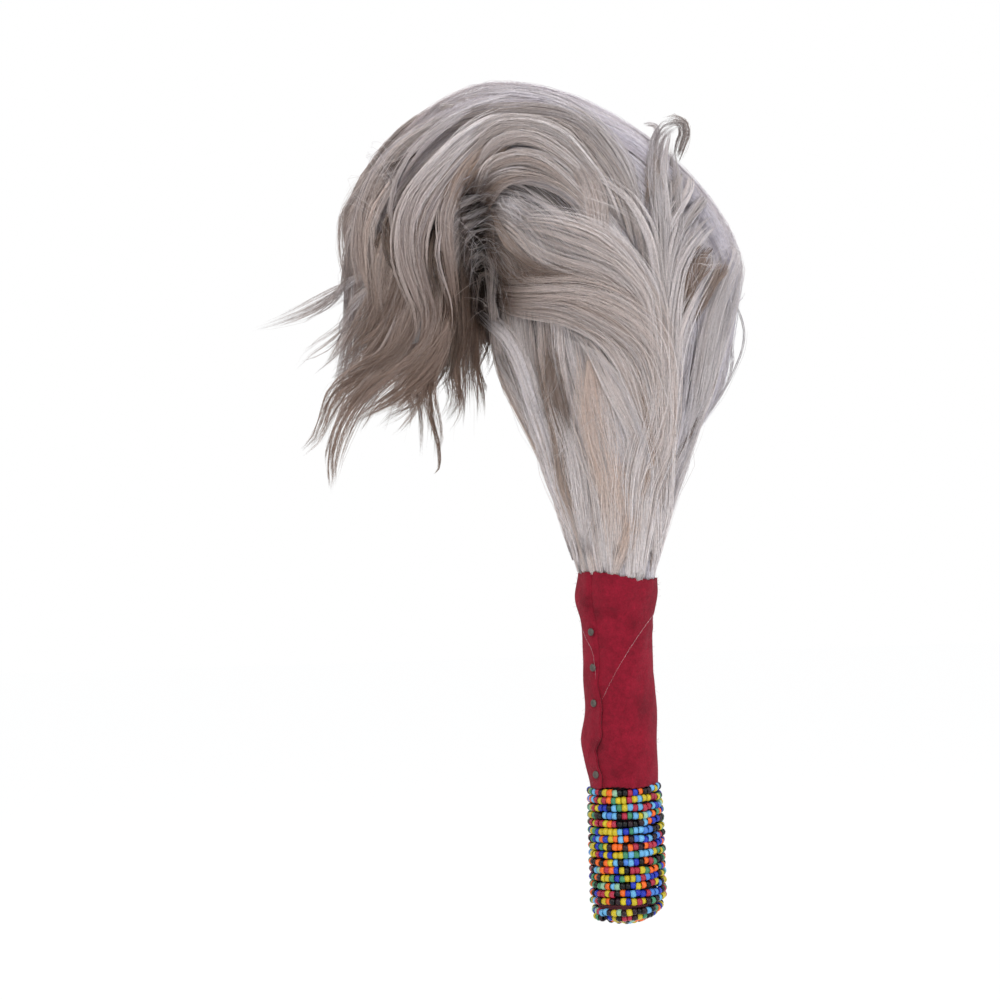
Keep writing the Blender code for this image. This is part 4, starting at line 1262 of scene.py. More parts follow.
def lock_tone(rng, turn, first, end):
    """Tone of a lock in the flow, with painted light: lighter and bluish on the outside of the arch, as if lit
    by the sky, darker and warmer towards its inside.
    """
    warmth = rng.normal(-0.08, 0.10) - 0.36 * math.cos(turn)
    shade = rng.normal(0.87, 0.07) + 0.14 * math.cos(turn)
    return np.clip(shade, 0, 1), np.clip(warmth, -0.8, 0.5), wear_at(first), wear_at(end)


class WHISK_OT_hair_mass(bpy.types.Operator):
    """Adds the locks that follow the tail's flow all round it"""
    bl_idname = "whisk.hair_mass"
    bl_label = "Hair Mass"

    def execute(self, context):
        settings = context.scene.whisk_hair
        finish = hair_finish(settings)
        rng = np.random.default_rng(11)
        bodies = Bodies()
        for number in range(4):
            hair = Strands()
            for locks, share, density in ((7, 0.87, 0.6), (9, 0.93, 10.0)):
                for i in range(locks):
                    start = math.pi / 2 * (number + (i + rng.uniform(-0.3, 0.3)) / locks)
                    end = rng.uniform(17.9, 20.6)
                    run = np.linspace(0.0, 1.0, 22)
                    at = end * run ** 0.92
                    turn = start + rng.uniform(-0.3, 0.3) * run + 0.08 * bend(rng, run, 0.6, 1.4)
                    seat = share + 0.025 * bend(rng, run, 1.0, 2.2)
                    mouth = 0.99 if math.sin(start) > 0.0 else 0.94  # fills the sleeve's mouth
                    seat = seat + (mouth - share) * np.clip(1.0 - at / 4.0, 0.0, 1.0)
                    guide, outs, wide = flow_lock(at, turn, seat)
                    full = wide / 0.2 * (2 * math.pi / (4 * locks)) * rng.uniform(1.2, 1.7)
                    edge = max(math.cos(start), 0.0) ** 4  # full locks on the outer edge of the arch
                    full = full * (1.0 + 0.35 * edge)
                    full = full * (1.0 - (0.6 - 0.4 * edge) * np.clip((run - 0.72) / 0.28, 0.0, 1.0))
                    add_lock(hair, bodies, rng, settings, guide, outs, full, 4.0 * MM, density,
                             lock_tone(rng, start, 0.0, end), step=14 * MM, most_steps=20, hollow=True,
                             fade=0.3, wear=2.4, root_stagger=0.01)
            piece = bend_at_mouth(hair.make(f"tail_hair_{number + 1}", finish))
            if number == 0:
                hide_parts("hair_root", "hair_bundle_1", "hair_bundle_2", "hair_bundle_3",
                            "hair_bundle_4", "hair_bundle_5")
        bend_at_mouth(bodies.make("tail_lock_bodies", body_finish(settings)))
        return {"FINISHED"}


class WHISK_OT_outer_locks(bpy.types.Operator):
    """Adds larger locks that slant over the sides and the back"""
    bl_idname = "whisk.outer_locks"
    bl_label = "Outer Locks"

    def execute(self, context):
        settings = context.scene.whisk_hair
        rng = np.random.default_rng(41)
        hair, bodies = Strands(), Bodies()
        locks = 20
        for i in range(locks):
            start = math.radians(165.0) + math.radians(255.0) * (i + rng.uniform(-0.4, 0.4)) / locks
            first = rng.uniform(0.3, 5.0)
            end = rng.uniform(11.5, 20.5)
            run = np.linspace(0.0, 1.0, 20)
            at = first + (end - first) * run
            turn = start + rng.uniform(-0.9, 0.9) * run + 0.12 * bend(rng, run, 0.8, 2.0)
            guide, outs, wide = flow_lock(at, turn, 0.955)
            full = wide / 0.2 * rng.uniform(0.13, 0.26)
            full = full * np.interp(run, (0, 0.2, 0.6, 1), (0.5, 1.0, 1.0, 0.3))
            add_lock(hair, bodies, rng, settings, guide, outs, full, rng.uniform(3.0, 4.5) * MM, 8.0,
                     lock_tone(rng, start, first, end), step=14 * MM, most_steps=18, wear=2.0,
                     lift=np.array((-1.5, 0.3, rng.uniform(0.5, 2.0), -0.5)) * MM, tip_share=0.7)
        bend_at_mouth(hair.make("outer_locks", hair_finish(settings)))
        bend_at_mouth(bodies.make("outer_lock_bodies", body_finish(settings)))
        return {"FINISHED"}


# Locks drawn over the photograph, as pixels along each lock from its root. For each: width and thickness in
# millimetres, lift over the hair below, shade, warmth, and reach at its ends. Rows with a shade at or below
# zero are dark slits of painted shade between the locks, and the bluish rows over the top of the arch carry
# painted sky light.
FRONT_LOCKS = (
    (6, 3, 3.0, 0.98, 0.00, 0.02, 0.30, ((648, 520), (655, 430), (659, 370), (660, 330), (658, 293),
        (651, 249), (641, 222), (623, 195), (604, 181), (587, 174))),
    (7, 4, 2.5, 0.74, 0.00, 0.02, 0.36, ((650, 500), (660, 420), (663, 360), (662, 320), (659, 285),
        (656, 255), (656, 225), (655, 195), (652, 170))),
    (6, 3, 2.7, 0.95, 0.00, 0.02, 0.32, ((650, 500), (658, 420), (660, 370), (660, 337), (659, 312),
        (661, 287), (664, 260), (668, 243), (673, 226), (679, 212), (686, 202))),
    (7, 4, 2.5, 0.72, 0.00, 0.02, 0.36, ((655, 480), (661, 400), (663, 350), (663, 315), (665, 285),
        (669, 260), (677, 238), (687, 220), (698, 208))),
    (6, 3, 2.8, 0.82, 0.00, 0.02, 0.34, ((656, 470), (663, 400), (666, 350), (667, 315), (670, 287),
        (676, 264), (687, 243), (701, 226), (713, 217))),
    (7, 4, 3.2, 1.00, 0.05, 0.02, 0.32, ((659, 440), (665, 380), (668, 344), (668, 319), (671, 294),
        (676, 270), (683, 254), (693, 241), (704, 230), (714, 223))),
    (9, 3, 3.6, 0.12, 0.80, 0.40, 0.58, ((676, 330), (680, 310), (684, 292), (689, 276), (696, 264),
        (703, 255), (708, 250))),
    (3, 2, 3.4, -0.1, 0.40, 0.55, 0.75, ((690, 270), (696, 261), (702, 254), (706, 250))),
    (6, 4, 3.6, 0.95, 0.10, 0.02, 0.35, ((664, 440), (669, 385), (672, 352), (678, 331), (685, 312),
        (692, 297), (698, 285), (706, 274), (713, 264), (718, 254))),
    (4, 3, 2.6, 0.30, 0.55, 0.30, 0.50, ((690, 330), (697, 310), (704, 296), (710, 282), (716, 270),
        (723, 258))),
    (9, 4, 2.5, 0.78, -0.05, 0.10, 0.36, ((684, 450), (696, 390), (704, 345), (711, 312), (719, 285),
        (728, 262), (735, 245), (738, 238))),
    (9, 3, 1.2, 0.72, -0.10, 0.10, 0.36, ((690, 440), (705, 385), (715, 345), (723, 315), (731, 290),
        (738, 268), (742, 252))),
    (10, 4, 1.0, 0.75, -0.05, 0.10, 0.35, ((680, 450), (697, 395), (708, 350), (716, 318), (727, 292))),
    (3, 2, 2.4, 0.00, 0.20, 0.50, 0.70, ((706, 392), (713, 366), (718, 342), (722, 325))),
    (9, 3, 0.8, 0.66, -0.10, 0.10, 0.36, ((644, 262), (641, 232), (634, 205), (623, 176), (607, 151),
        (589, 131), (569, 117), (547, 108), (520, 101))),
    (9, 2, 0.2, 0.80, -0.30, 0.10, 0.36, ((637, 190), (630, 172), (617, 150), (601, 131), (582, 117),
        (559, 106), (532, 98), (500, 94), (468, 97))),
    (5, 3, 2.5, 0.62, -0.02, 0.02, 0.36, ((651, 480), (661, 410), (664, 350), (663, 310), (662, 280),
        (662, 250), (664, 222), (665, 195), (664, 168))),
    (4, 3, 2.0, 0.64, 0.02, 0.10, 0.36, ((668, 262), (677, 238), (687, 219), (697, 205), (705, 195))),
    (4, 3, 1.8, 0.84, 0.00, 0.10, 0.34, ((664, 245), (671, 222), (680, 203), (687, 188), (690, 176))),
    (3, 2, 1.6, 0.36, 0.20, 0.20, 0.42, ((661, 220), (668, 198), (675, 182), (679, 168))),
    (10, 5, 4.0, 0.85, 0.15, 0.05, 0.40, ((652, 400), (652, 340), (646, 293), (631, 268), (614, 248),
        (592, 232), (569, 224), (548, 218), (530, 217), (512, 224))),
    (10, 5, 4.5, 0.80, 0.20, 0.05, 0.45, ((655, 420), (656, 350), (650, 304), (637, 281), (621, 264),
        (604, 253), (587, 246), (568, 238), (550, 230), (531, 226), (512, 226))),
    (10, 5, 4.5, 0.80, 0.15, 0.05, 0.50, ((655, 440), (652, 360), (641, 313), (624, 292), (606, 276),
        (588, 268), (569, 262), (551, 254), (534, 244), (521, 234), (510, 226))),
    (12, 5, 3.6, 0.22, 0.40, 0.10, 0.80, ((655, 450), (648, 370), (632, 313), (615, 297), (596, 285),
        (574, 279), (551, 276), (532, 268), (517, 258), (505, 246), (497, 234))),
    (12, 6, 5.0, 0.80, 0.20, 0.05, 0.60, ((662, 430), (659, 353), (648, 330), (632, 313), (610, 298),
        (587, 289), (565, 286), (542, 287), (522, 286), (507, 281), (497, 273), (491, 264))),
    (12, 6, 4.6, 0.66, 0.25, 0.05, 0.66, ((660, 440), (652, 388), (641, 354), (624, 335), (605, 321),
        (582, 309), (560, 302), (534, 300), (513, 296), (500, 290), (491, 283))),
    (10, 5, 4.0, 0.85, 0.20, 0.05, 0.52, ((655, 460), (640, 393), (620, 352), (600, 331), (575, 318),
        (552, 311), (528, 309), (508, 303), (495, 293))),
    (3, 2, 4.6, -0.4, 0.20, 0.70, 0.85, ((441, 218), (435, 232), (431, 246), (430, 260), (432, 276),
        (436, 292), (441, 308))),
    (3, 2, 3.4, -0.3, 0.10, 0.50, 0.60, ((421, 147), (412, 158), (404, 168), (397, 179), (391, 192))),
    (4, 2, 2.0, -0.1, 0.10, 0.50, 0.80, ((398, 205), (390, 222), (387, 240), (391, 258), (399, 275))),
    (10, 4, 2.5, 0.95, 0.10, 0.02, 0.32, ((655, 550), (651, 500), (647, 457), (636, 420), (618, 389),
        (604, 362), (590, 340), (566, 320))),
    (8, 4, 2.5, 0.90, 0.05, 0.02, 0.32, ((660, 520), (664, 480), (666, 429), (662, 392), (650, 367),
        (631, 338), (612, 322))),
    (6, 3, 0.6, 1.00, 0.05, 0.00, 0.12, ((574, 560), (564, 520), (552, 480), (545, 455), (540, 430),
        (537, 405))),
    (10, 3, 1.2, 0.28, 0.45, 0.34, 0.62, ((563, 432), (557, 408), (551, 385), (547, 362), (545, 340),
        (543, 316))),
    (15, 3, 1.0, 0.85, 0.62, 0.02, 0.22, ((612, 520), (610, 480), (604, 440), (597, 400), (588, 360),
        (580, 330))),
    (10, 3, 0.8, 1.00, 0.12, 0.00, 0.12, ((590, 560), (583, 520), (576, 480), (567, 440), (556, 400),
        (552, 370))),
    (9, 3, 0.8, 1.00, 0.15, 0.00, 0.12, ((580, 560), (572, 520), (559, 480), (549, 445), (540, 410),
        (534, 380))),
    (12, 3, 0.9, 0.95, 0.20, 0.00, 0.15, ((616, 560), (615, 510), (613, 465), (608, 420), (600, 385),
        (590, 350))),
    (12, 3, 0.9, 0.90, 0.00, 0.00, 0.15, ((630, 560), (632, 515), (632, 475), (628, 430), (620, 395),
        (610, 365))),
    (11, 3, 0.9, 0.90, -0.10, 0.00, 0.20, ((643, 560), (648, 520), (652, 480), (655, 440), (656, 400),
        (655, 370))),
    (9, 3, 0.9, 0.70, -0.20, 0.00, 0.25, ((651, 560), (660, 520), (668, 485), (677, 450), (690, 420),
        (703, 390))),
    (8, 3, 1.5, 0.95, -0.05, 0.05, 0.25, ((552, 450), (540, 415), (529, 380), (519, 352), (508, 336),
        (494, 321), (480, 308), (470, 296))),
    (5, 3, 1.0, 0.60, 0.05, 0.10, 0.35, ((544, 440), (531, 408), (517, 383), (505, 360), (494, 349),
        (484, 342))),
    (3, 2, 0.8, 0.70, 0.20, 0.10, 0.30, ((548, 460), (537, 425), (524, 397), (510, 376), (500, 362),
        (491, 354))),
    (10, 4, 1.5, 0.55, 0.10, 0.10, 0.50, ((652, 300), (647, 258), (641, 231), (630, 203), (616, 177),
        (605, 158), (592, 141), (580, 129), (566, 121), (550, 116), (534, 114), (507, 113), (480, 116),
        (452, 126), (430, 141))),
    (9, 4, 2.7, 0.64, 0.08, 0.15, 0.50, ((627, 240), (607, 190), (580, 156), (566, 142), (551, 133),
        (530, 127), (507, 126), (492, 131), (478, 143), (462, 161), (452, 182))),
    (8, 4, 3.0, 0.75, 0.10, 0.15, 0.55, ((622, 250), (590, 182), (563, 156), (549, 147), (534, 141),
        (518, 139), (501, 142), (490, 151), (479, 166), (470, 187), (464, 212))),
    (7, 4, 3.5, 0.65, 0.10, 0.20, 0.58, ((615, 258), (596, 214), (569, 184), (559, 176), (549, 170),
        (538, 163), (525, 160), (511, 160), (498, 164), (488, 170), (479, 180), (471, 197), (467, 218))),
    (7, 4, 3.5, 0.55, 0.12, 0.20, 0.60, ((605, 262), (588, 220), (568, 194), (551, 184), (538, 178),
        (525, 175), (513, 175), (501, 178), (491, 184), (484, 194), (477, 210), (473, 232))),
    (9, 3, 1.5, 0.74, 0.28, 0.10, 0.30, ((612, 290), (603, 250), (598, 222), (592, 195), (583, 172),
        (570, 158))),
    (11, 5, 3.6, 0.76, -0.08, 0.16, 0.80, ((560, 108), (532, 111), (506, 119), (482, 131), (459, 147),
        (440, 165), (425, 183), (413, 203), (407, 224), (406, 243), (409, 263), (415, 284), (421, 306),
        (422, 328), (416, 350))),
    (6, 3, 3.4, 0.68, -0.05, 0.18, 0.84, ((556, 112), (530, 116), (506, 126), (486, 140), (468, 156),
        (452, 175), (440, 194), (430, 213), (422, 232), (419, 250), (421, 268), (426, 287), (432, 308),
        (434, 330), (430, 352))),
    (6, 3, 2.8, 0.35, 0.70, 0.40, 0.60, ((510, 130), (493, 142), (474, 160), (457, 184), (446, 205),
        (438, 231))),
    (6, 3, 2.8, 0.66, 0.05, 0.22, 0.88, ((556, 118), (530, 122), (508, 132), (488, 147), (471, 164),
        (459, 181), (450, 198), (445, 214), (443, 231), (443, 247), (445, 263), (448, 281), (452, 302),
        (455, 325), (452, 350))),
    (4, 3, 3.0, 0.05, -0.10, 0.40, 0.85, ((503, 152), (478, 172), (470, 188), (465, 203), (462, 220),
        (462, 236), (463, 252), (466, 270), (471, 295), (478, 325))),
    (3, 2, 4.0, 0.85, 0.05, 0.30, 0.55, ((540, 154), (521, 157), (505, 159), (491, 164), (482, 178),
        (475, 195), (470, 208), (466, 222), (464, 246))),
    (4, 2, 1.0, 0.60, 0.35, 0.40, 0.60, ((484, 200), (486, 222), (488, 241), (493, 256), (500, 270),
        (509, 281), (521, 291))),
    (4, 2, 1.0, 0.55, 0.35, 0.40, 0.60, ((492, 208), (503, 232), (513, 247), (527, 261), (543, 273),
        (559, 278))),
    (10, 4, 1.0, 0.62, 0.05, 0.35, 0.70, ((452, 105), (420, 117), (394, 138), (374, 163), (359, 192),
        (352, 220), (351, 250), (354, 280), (350, 300))),
    (12, 4, 1.5, 0.66, 0.10, 0.35, 0.76, ((446, 120), (412, 141), (387, 170), (372, 200), (365, 235),
        (367, 270), (372, 305), (376, 330))),
    (7, 3, 1.0, 0.62, 0.35, 0.40, 0.72, ((405, 205), (387, 237), (379, 265), (379, 295), (384, 325),
        (382, 350))),
)


# Wisps at the left of the fall and its free ends, with the same values as the locks above.
WISPS = (
    (8, 3, 2.5, 0.75, 0.00, 0.35, 0.60, ((400, 245), (373, 261), (344, 278), (323, 292), (303, 304),
        (280, 316), (250, 329))),
    (3, 2, 1.0, 0.80, 0.00, 0.35, 0.55, ((378, 262), (350, 282), (330, 298), (315, 310), (302, 322))),
    (6, 3, 1.5, 0.70, 0.05, 0.40, 0.62, ((405, 268), (380, 283), (360, 298), (345, 318), (329, 335),
        (314, 345), (299, 356), (291, 372))),
    (5, 2, 1.0, 0.70, 0.05, 0.40, 0.65, ((388, 296), (372, 313), (360, 329), (348, 342), (331, 355),
        (312, 373))),
    (7, 3, 1.0, 0.65, 0.00, 0.40, 0.70, ((366, 210), (356, 235), (353, 262), (349, 285), (344, 303))),
)
# Free ends of the fall: their lowest shades, on its inner side by the hollow, are painted shade over the
# browner worn hair.
END_LOCKS = (
    (7, 4, 2.5, 0.50, 0.35, 0.50, 0.90, ((426, 255), (420, 290), (412, 326), (398, 352), (377, 366),
        (358, 376), (342, 390), (331, 408), (324, 430), (305, 452))),
    (6, 3, 2.0, 0.55, 0.30, 0.50, 0.90, ((424, 275), (416, 310), (405, 345), (390, 364), (372, 381),
        (356, 400), (344, 422), (335, 450), (332, 486))),
    (8, 4, 3.0, 0.48, 0.35, 0.55, 0.88, ((442, 265), (436, 305), (427, 338), (412, 360), (395, 376),
        (376, 392), (358, 410), (350, 426))),
    (7, 4, 3.0, 0.35, 0.40, 0.62, 0.90, ((454, 275), (449, 315), (440, 345), (427, 368), (410, 385),
        (392, 400), (372, 412), (354, 424))),
    (8, 3, 2.5, 0.65, 0.30, 0.50, 0.90, ((412, 285), (403, 320), (394, 345), (380, 360), (363, 370),
        (347, 382))),
    (8, 3, 2.5, 0.55, 0.30, 0.55, 0.92, ((438, 300), (430, 346), (418, 376), (404, 396), (390, 409),
        (374, 417))),
    (10, 4, 0.5, 0.45, 0.30, 0.45, 0.85, ((392, 235), (384, 270), (376, 302), (364, 328), (352, 346),
        (342, 360))),
    (10, 4, 0.5, 0.40, 0.30, 0.50, 0.85, ((408, 250), (400, 290), (390, 322), (376, 346), (360, 362),
        (346, 374))),
    (6, 3, 2.5, 0.38, 0.60, 0.66, 0.95, ((434, 285), (430, 330), (420, 365), (412, 388), (417, 405),
        (418, 415), (411, 431))),
    (6, 3, 2.0, 0.15, 0.55, 0.70, 0.98, ((446, 290), (441, 340), (432, 372), (429, 394), (434, 415),
        (437, 436), (434, 461))),
    (6, 3, 2.0, 0.06, 0.45, 0.70, 0.95, ((460, 280), (459, 330), (455, 362), (455, 378), (459, 396),
        (453, 412), (444, 424))),
    (5, 3, 2.0, 0.03, 0.45, 0.70, 0.95, ((474, 290), (474, 335), (471, 362), (472, 378), (477, 398),
        (481, 419))),
    (5, 3, 1.0, 0.02, 0.35, 0.70, 0.95, ((463, 270), (465, 320), (462, 355), (460, 380), (464, 398))),
    (9, 4, 0.5, -0.15, 0.30, 0.75, 0.95, ((450, 260), (452, 300), (448, 340), (440, 370), (428, 390))),
    (8, 4, 0.5, -0.20, 0.30, 0.75, 0.95, ((463, 250), (464, 290), (461, 330), (453, 360), (445, 380))),
    (8, 4, 0.0, -0.10, 0.20, 0.55, 0.95, ((478, 255), (482, 295), (479, 330), (472, 360), (468, 382))),
    (4, 3, 2.0, 0.10, 0.25, 0.60, 0.90, ((476, 250), (482, 292), (486, 330), (488, 355), (485, 380))),
    (7, 3, 1.0, 0.60, 0.35, 0.50, 0.85, ((402, 290), (391, 320), (380, 345), (366, 362), (352, 374),
        (342, 386))),
)

# The tuft that stands up at the top right: width and thickness in millimetres, shade, warmth, and pixels with
# the depth of each in millimetres.
TUFT = (
    (4.5, 3.5, 0.56, -0.08, ((661, 262, -36), (659, 235, -33), (656, 210, -30), (654, 188, -27),
        (653, 168, -22), (655, 150, -17), (660, 138, -14), (668, 129, -12), (677, 126, -11))),
    (3.0, 2.5, 0.34, -0.05, ((655, 235, -33), (652, 213, -30), (651, 193, -27), (650, 172, -23),
        (650, 152, -17), (654, 137, -14), (661, 126, -12), (671, 120, -11), (680, 124, -11))),
    (5.0, 3.0, 0.10, 0.05, ((664, 124, -12), (672, 120, -12), (680, 123, -11), (684, 131, -11),
        (683, 141, -11), (679, 151, -12), (675, 161, -15))),
    (5.0, 3.5, 0.68, -0.08, ((666, 270, -36), (665, 243, -33), (664, 215, -30), (663, 192, -27),
        (662, 172, -22), (663, 155, -18), (666, 140, -14), (668, 131, -12))),
    (4.5, 3.0, 0.40, 0.00, ((672, 260, -33), (675, 236, -30), (676, 215, -28), (676, 195, -25),
        (675, 176, -20), (673, 160, -16), (672, 148, -13))),
    (2.5, 1.5, 0.60, -0.20, ((655, 150, -15), (655, 138, -13), (657, 129, -12), (652, 124, -11),
        (643, 125, -10))),
    (5.0, 2.5, 0.10, 0.50, ((651, 215, -28), (652, 195, -27), (652, 178, -25), (653, 162, -20),
        (655, 150, -17))),
)


CONE_EDGES = (  # the cone of hair over the sleeve in the photograph: row, left edge, right edge
    (374, 505, 737), (396, 521, 727), (414, 530, 716), (440, 537, 699), (465, 543, 684), (485, 549, 677),
    (505, 559, 671), (525, 565, 667), (545, 570, 662), (570, 577, 656), (580, 578, 655))


def rooted(spots):
    """The lock's pixels, carried down the cone to the sleeve's mouth at the same share of its width."""
    rows, left, right = np.array(CONE_EDGES, float).T
    u, v = spots[0]
    if v < 374.0:
        return spots
    share = (u - np.interp(v, rows, left)) / (np.interp(v, rows, right) - np.interp(v, rows, left))
    down = np.arange(578.0, v + 20.0, -32.0)
    below = np.interp(down, rows, left) * (1.0 - share) + np.interp(down, rows, right) * share
    return np.concatenate([np.stack([below, down], 1), spots])


# Single hairs that stray from the locks: number, distance apart in millimetres, lift, shade, warmth, reach
# and pixels.
STRAY_HAIRS = (
    (5, 5, 1.0, 0.8, 0.0, 0.2, ((488, 352), (498, 378), (516, 429), (533, 459), (544, 474), (556, 500))),
    (14, 2, 1.5, 0.3, -0.2, 0.3, ((736, 286), (742, 298), (747, 311), (751, 325), (752, 338), (748, 358),
        (734, 389), (708, 428), (692, 456))),
    (2, 1, 1.5, 0.0, 0.1, 0.9, ((697, 453), (673, 463), (668, 485), (660, 509), (644, 540), (637, 574))),
    (5, 3, 0.8, 0.0, 0.0, 0.7, ((599, 505), (596, 522), (592, 538), (590, 556))),
    (5, 9, 4.5, 0.8, 0.1, 0.4, ((436, 205), (455, 220), (474, 240), (490, 262), (505, 280))),
    (4, 9, 4.0, 0.7, 0.2, 0.5, ((440, 300), (458, 280), (476, 262), (494, 240), (508, 222))),
    (4, 8, 4.0, 0.7, 0.2, 0.4, ((452, 288), (470, 296), (492, 299), (515, 294), (536, 286))),
    (4, 12, 4.5, 0.7, 0.3, 0.5, ((455, 330), (468, 312), (484, 300), (505, 292), (530, 290))),
    (9, 14, 4.0, 0.9, 0.1, 0.2, ((560, 196), (590, 205), (620, 224), (640, 252), (650, 290))),
    (9, 14, 3.0, 0.9, -0.2, 0.3, ((370, 150), (392, 160), (405, 185), (400, 215), (384, 240))),
    (9, 14, 3.0, 0.8, 0.0, 0.4, ((352, 190), (372, 200), (392, 222), (400, 250), (392, 285))),
    (8, 14, 3.0, 0.7, 0.2, 0.5, ((430, 150), (410, 170), (385, 180), (362, 200), (350, 230))),
    (8, 10, 2.5, 0.6, 0.2, 0.3, ((532, 420), (548, 400), (556, 380), (560, 360), (575, 345))),
    (7, 12, 2.5, 0.8, 0.1, 0.1, ((560, 470), (575, 440), (600, 420), (630, 405), (650, 380))),
    (6, 10, 3.0, 0.9, -0.3, 0.2, ((700, 200), (690, 225), (684, 260), (690, 300), (710, 330))),
    (9, 9, 5.5, 0.9, 0.1, 0.3, ((682, 270), (692, 262), (702, 264), (712, 256), (722, 262))),
    (9, 9, 5.5, 0.8, 0.2, 0.3, ((680, 300), (690, 290), (699, 278), (706, 262), (716, 250))),
    (6, 8, 3.0, 0.2, 0.0, 0.8, ((480, 195), (492, 187), (508, 184), (524, 190), (536, 204))),
    (50, 9, 1.0, 0.9, -0.1, 0.25, ((506, 190), (511, 199), (518, 209), (527, 221))),
)


def drawn_locks(rng, settings, rows, hair, bodies, skin, side=-1.0, stray=0.0, density=11.0, companions=3,
                flare=0.5, frizz=1.0, body_share=0.88, hug=True, thin=1.0):
    """Adds locks drawn over the photograph, seated on the skin, each with thinner companions that part from
    it. stray moves them about at random."""
    for width, thickness, lift, shade, warmth, near, far, pixels in rows:
        spots = rooted(np.array(pixels, float))
        free = len(spots) == len(pixels)
        if stray:
            drift = rng.normal(0, stray, 2)[None, :] + rng.normal(0, stray / 3, spots.shape)
            spots = spots + drift * np.linspace(0.4, 1.0, len(spots))[:, None]
        guide, outs = seat_guide(skin, spots, side)
        spread = width * 1.1 * MM * np.array((0.4 if free else 0.3, 0.8, 1.0, 1.0, flare))
        rise = np.array((-0.7 if free else 0.0, 0.4, 0.9, 1.0, 0.2)) * lift * MM
        seated = dict(thin=thin, hollow=True, root_stagger=0.08 if free else 0.01,
                      root_shade=None if free else 0.70)
        add_lock(hair, bodies if shade > 0.0 else None, rng, settings, guide, outs, spread, thickness * MM,
                 density, (shade, warmth, near, far), lift=rise, frizz=frizz, body_share=body_share,
                 step=9 * MM, most_steps=21, tip_share=0.75 if free else 0.84, **seated)
        for _ in range(companions):
            start, end = rng.uniform(0.0, 0.4) if free else rng.uniform(0.0, 0.03), rng.uniform(0.65, 1.0)
            run = np.linspace(0.0, 1.0, max(len(spots), 5))
            part = along_knots(spots, (start + (end - start) * run) * (len(spots) - 1))
            apart = (rng.normal(0, 0.75 * width, 2)[None, :]
                     + rng.normal(0, 0.8 * width, 2)[None, :] * run[:, None])
            if not free:
                apart = apart * np.clip(run * 2.0, 0.0, 1.0)[:, None]
            guide, outs = seat_guide(skin, part + apart, side, hug)
            tone = (np.clip(shade + rng.normal(0, 0.10), -0.6, 1),
                    np.clip(warmth + rng.normal(0, 0.14), -0.3, 0.8),
                    near + (far - near) * start, near + (far - near) * end)
            add_lock(hair, None, rng, settings, guide, outs, spread * rng.uniform(0.25, 0.55),
                     thickness * 0.6 * MM, density, tone, step=11 * MM, most_steps=17,
                     lift=rise + rng.uniform(-0.3, 1.3) * MM, frizz=1.4 * frizz, tip_share=0.6, **seated)


class WHISK_OT_front_locks(bpy.types.Operator):
    """Adds the large locks that lie over the front of the tail"""
    bl_idname = "whisk.front_locks"
    bl_label = "Front Locks"

    def execute(self, context):
        settings = context.scene.whisk_hair
        skin = flow_skin()
        rng = np.random.default_rng(23)
        bodies = Bodies()
        finish = hair_finish(settings)
        for number in range(6):
            hair = Strands()
            drawn_locks(rng, settings, FRONT_LOCKS[number::6], hair, bodies, skin)
            bend_at_mouth(hair.make(f"front_locks_{number + 1}", finish))
        bend_at_mouth(bodies.make("front_lock_bodies", body_finish(settings)))
        strays = Strands()
        for number, apart, lift, shade, warmth, reach, pixels in STRAY_HAIRS:
            guide, outs = seat_guide(skin, pixels)
            add_lock(strays, None, rng, settings, guide, outs, apart * MM, 2.0 * MM, number / apart,
                     (shade, warmth, reach, reach + 0.1), lift=(lift + 1.5) * MM, frizz=1.3, thin=0.55,
                     step=5 * MM, tip_share=0.6, root_stagger=0.3)
        bend_at_mouth(strays.make("stray_hairs", finish))
        return {"FINISHED"}


class WHISK_OT_ends(bpy.types.Operator):
    """Adds the free ends of the fall, the wisps at its left and the tuft at the top"""
    bl_idname = "whisk.ends"
    bl_label = "Ends and Wisps"

    def execute(self, context):
        settings = context.scene.whisk_hair
        skin = flow_skin()
        rng = np.random.default_rng(57)
        finish, packed = hair_finish(settings), body_finish(settings)
        hair, bodies = Strands(), Bodies()
        drawn_locks(rng, settings, WISPS, hair, None, skin, density=9.0, companions=2, flare=0.3, frizz=1.5,
                    hug=False, thin=0.75)
        drawn_locks(rng, settings, END_LOCKS, hair, bodies, skin, flare=0.45, frizz=1.6, body_share=0.62,
                    companions=2, hug=False, thin=0.85)
        drawn_locks(rng, settings, END_LOCKS, hair, bodies, skin, side=1.0, stray=7.0, density=6.5,
                    companions=1, flare=0.6, frizz=1.7, body_share=0.62, hug=False)
        ends = hair.make("fall_ends", finish)
        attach(ends, "tail")
        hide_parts("side_wisp_1", "side_wisp_2", "side_wisp_3")
        filled = bodies.make("fall_end_bodies", packed)
        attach(filled, "tail")
        tuft = Strands()
        for width, thickness, shade, warmth, points in TUFT:
            below = seat_guide(skin, [point[:2] for point in points])[0]
            guide = []
            for (u, v, depth), seat in zip(points, below):
                over = seat[1] - 2.6 * MM * np.interp(v, (190, 250), (1, 0))  # clear of the hair below
                guide.append(at_pixel(u, v, min(depth * MM, over) if v > 150 else depth * MM))
            guide = np.array(guide)
            outs = np.tile((0.3, -1.0, 0.2), (len(guide), 1))
            add_lock(tuft, None, rng, settings, guide, outs, width * MM * np.array((1.1, 1.1, 1.0, 0.8, 0.6)),
                     thickness * MM, 26.0, (shade + 0.15, warmth, 0.3, 0.42), step=6 * MM, frizz=1.6,
                     thin=0.75, tip_share=0.88, root_stagger=0.4)
        top = tuft.make("top_tuft_hair", finish)
        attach(top, "tail")
        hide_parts("top_tuft")
        return {"FINISHED"}


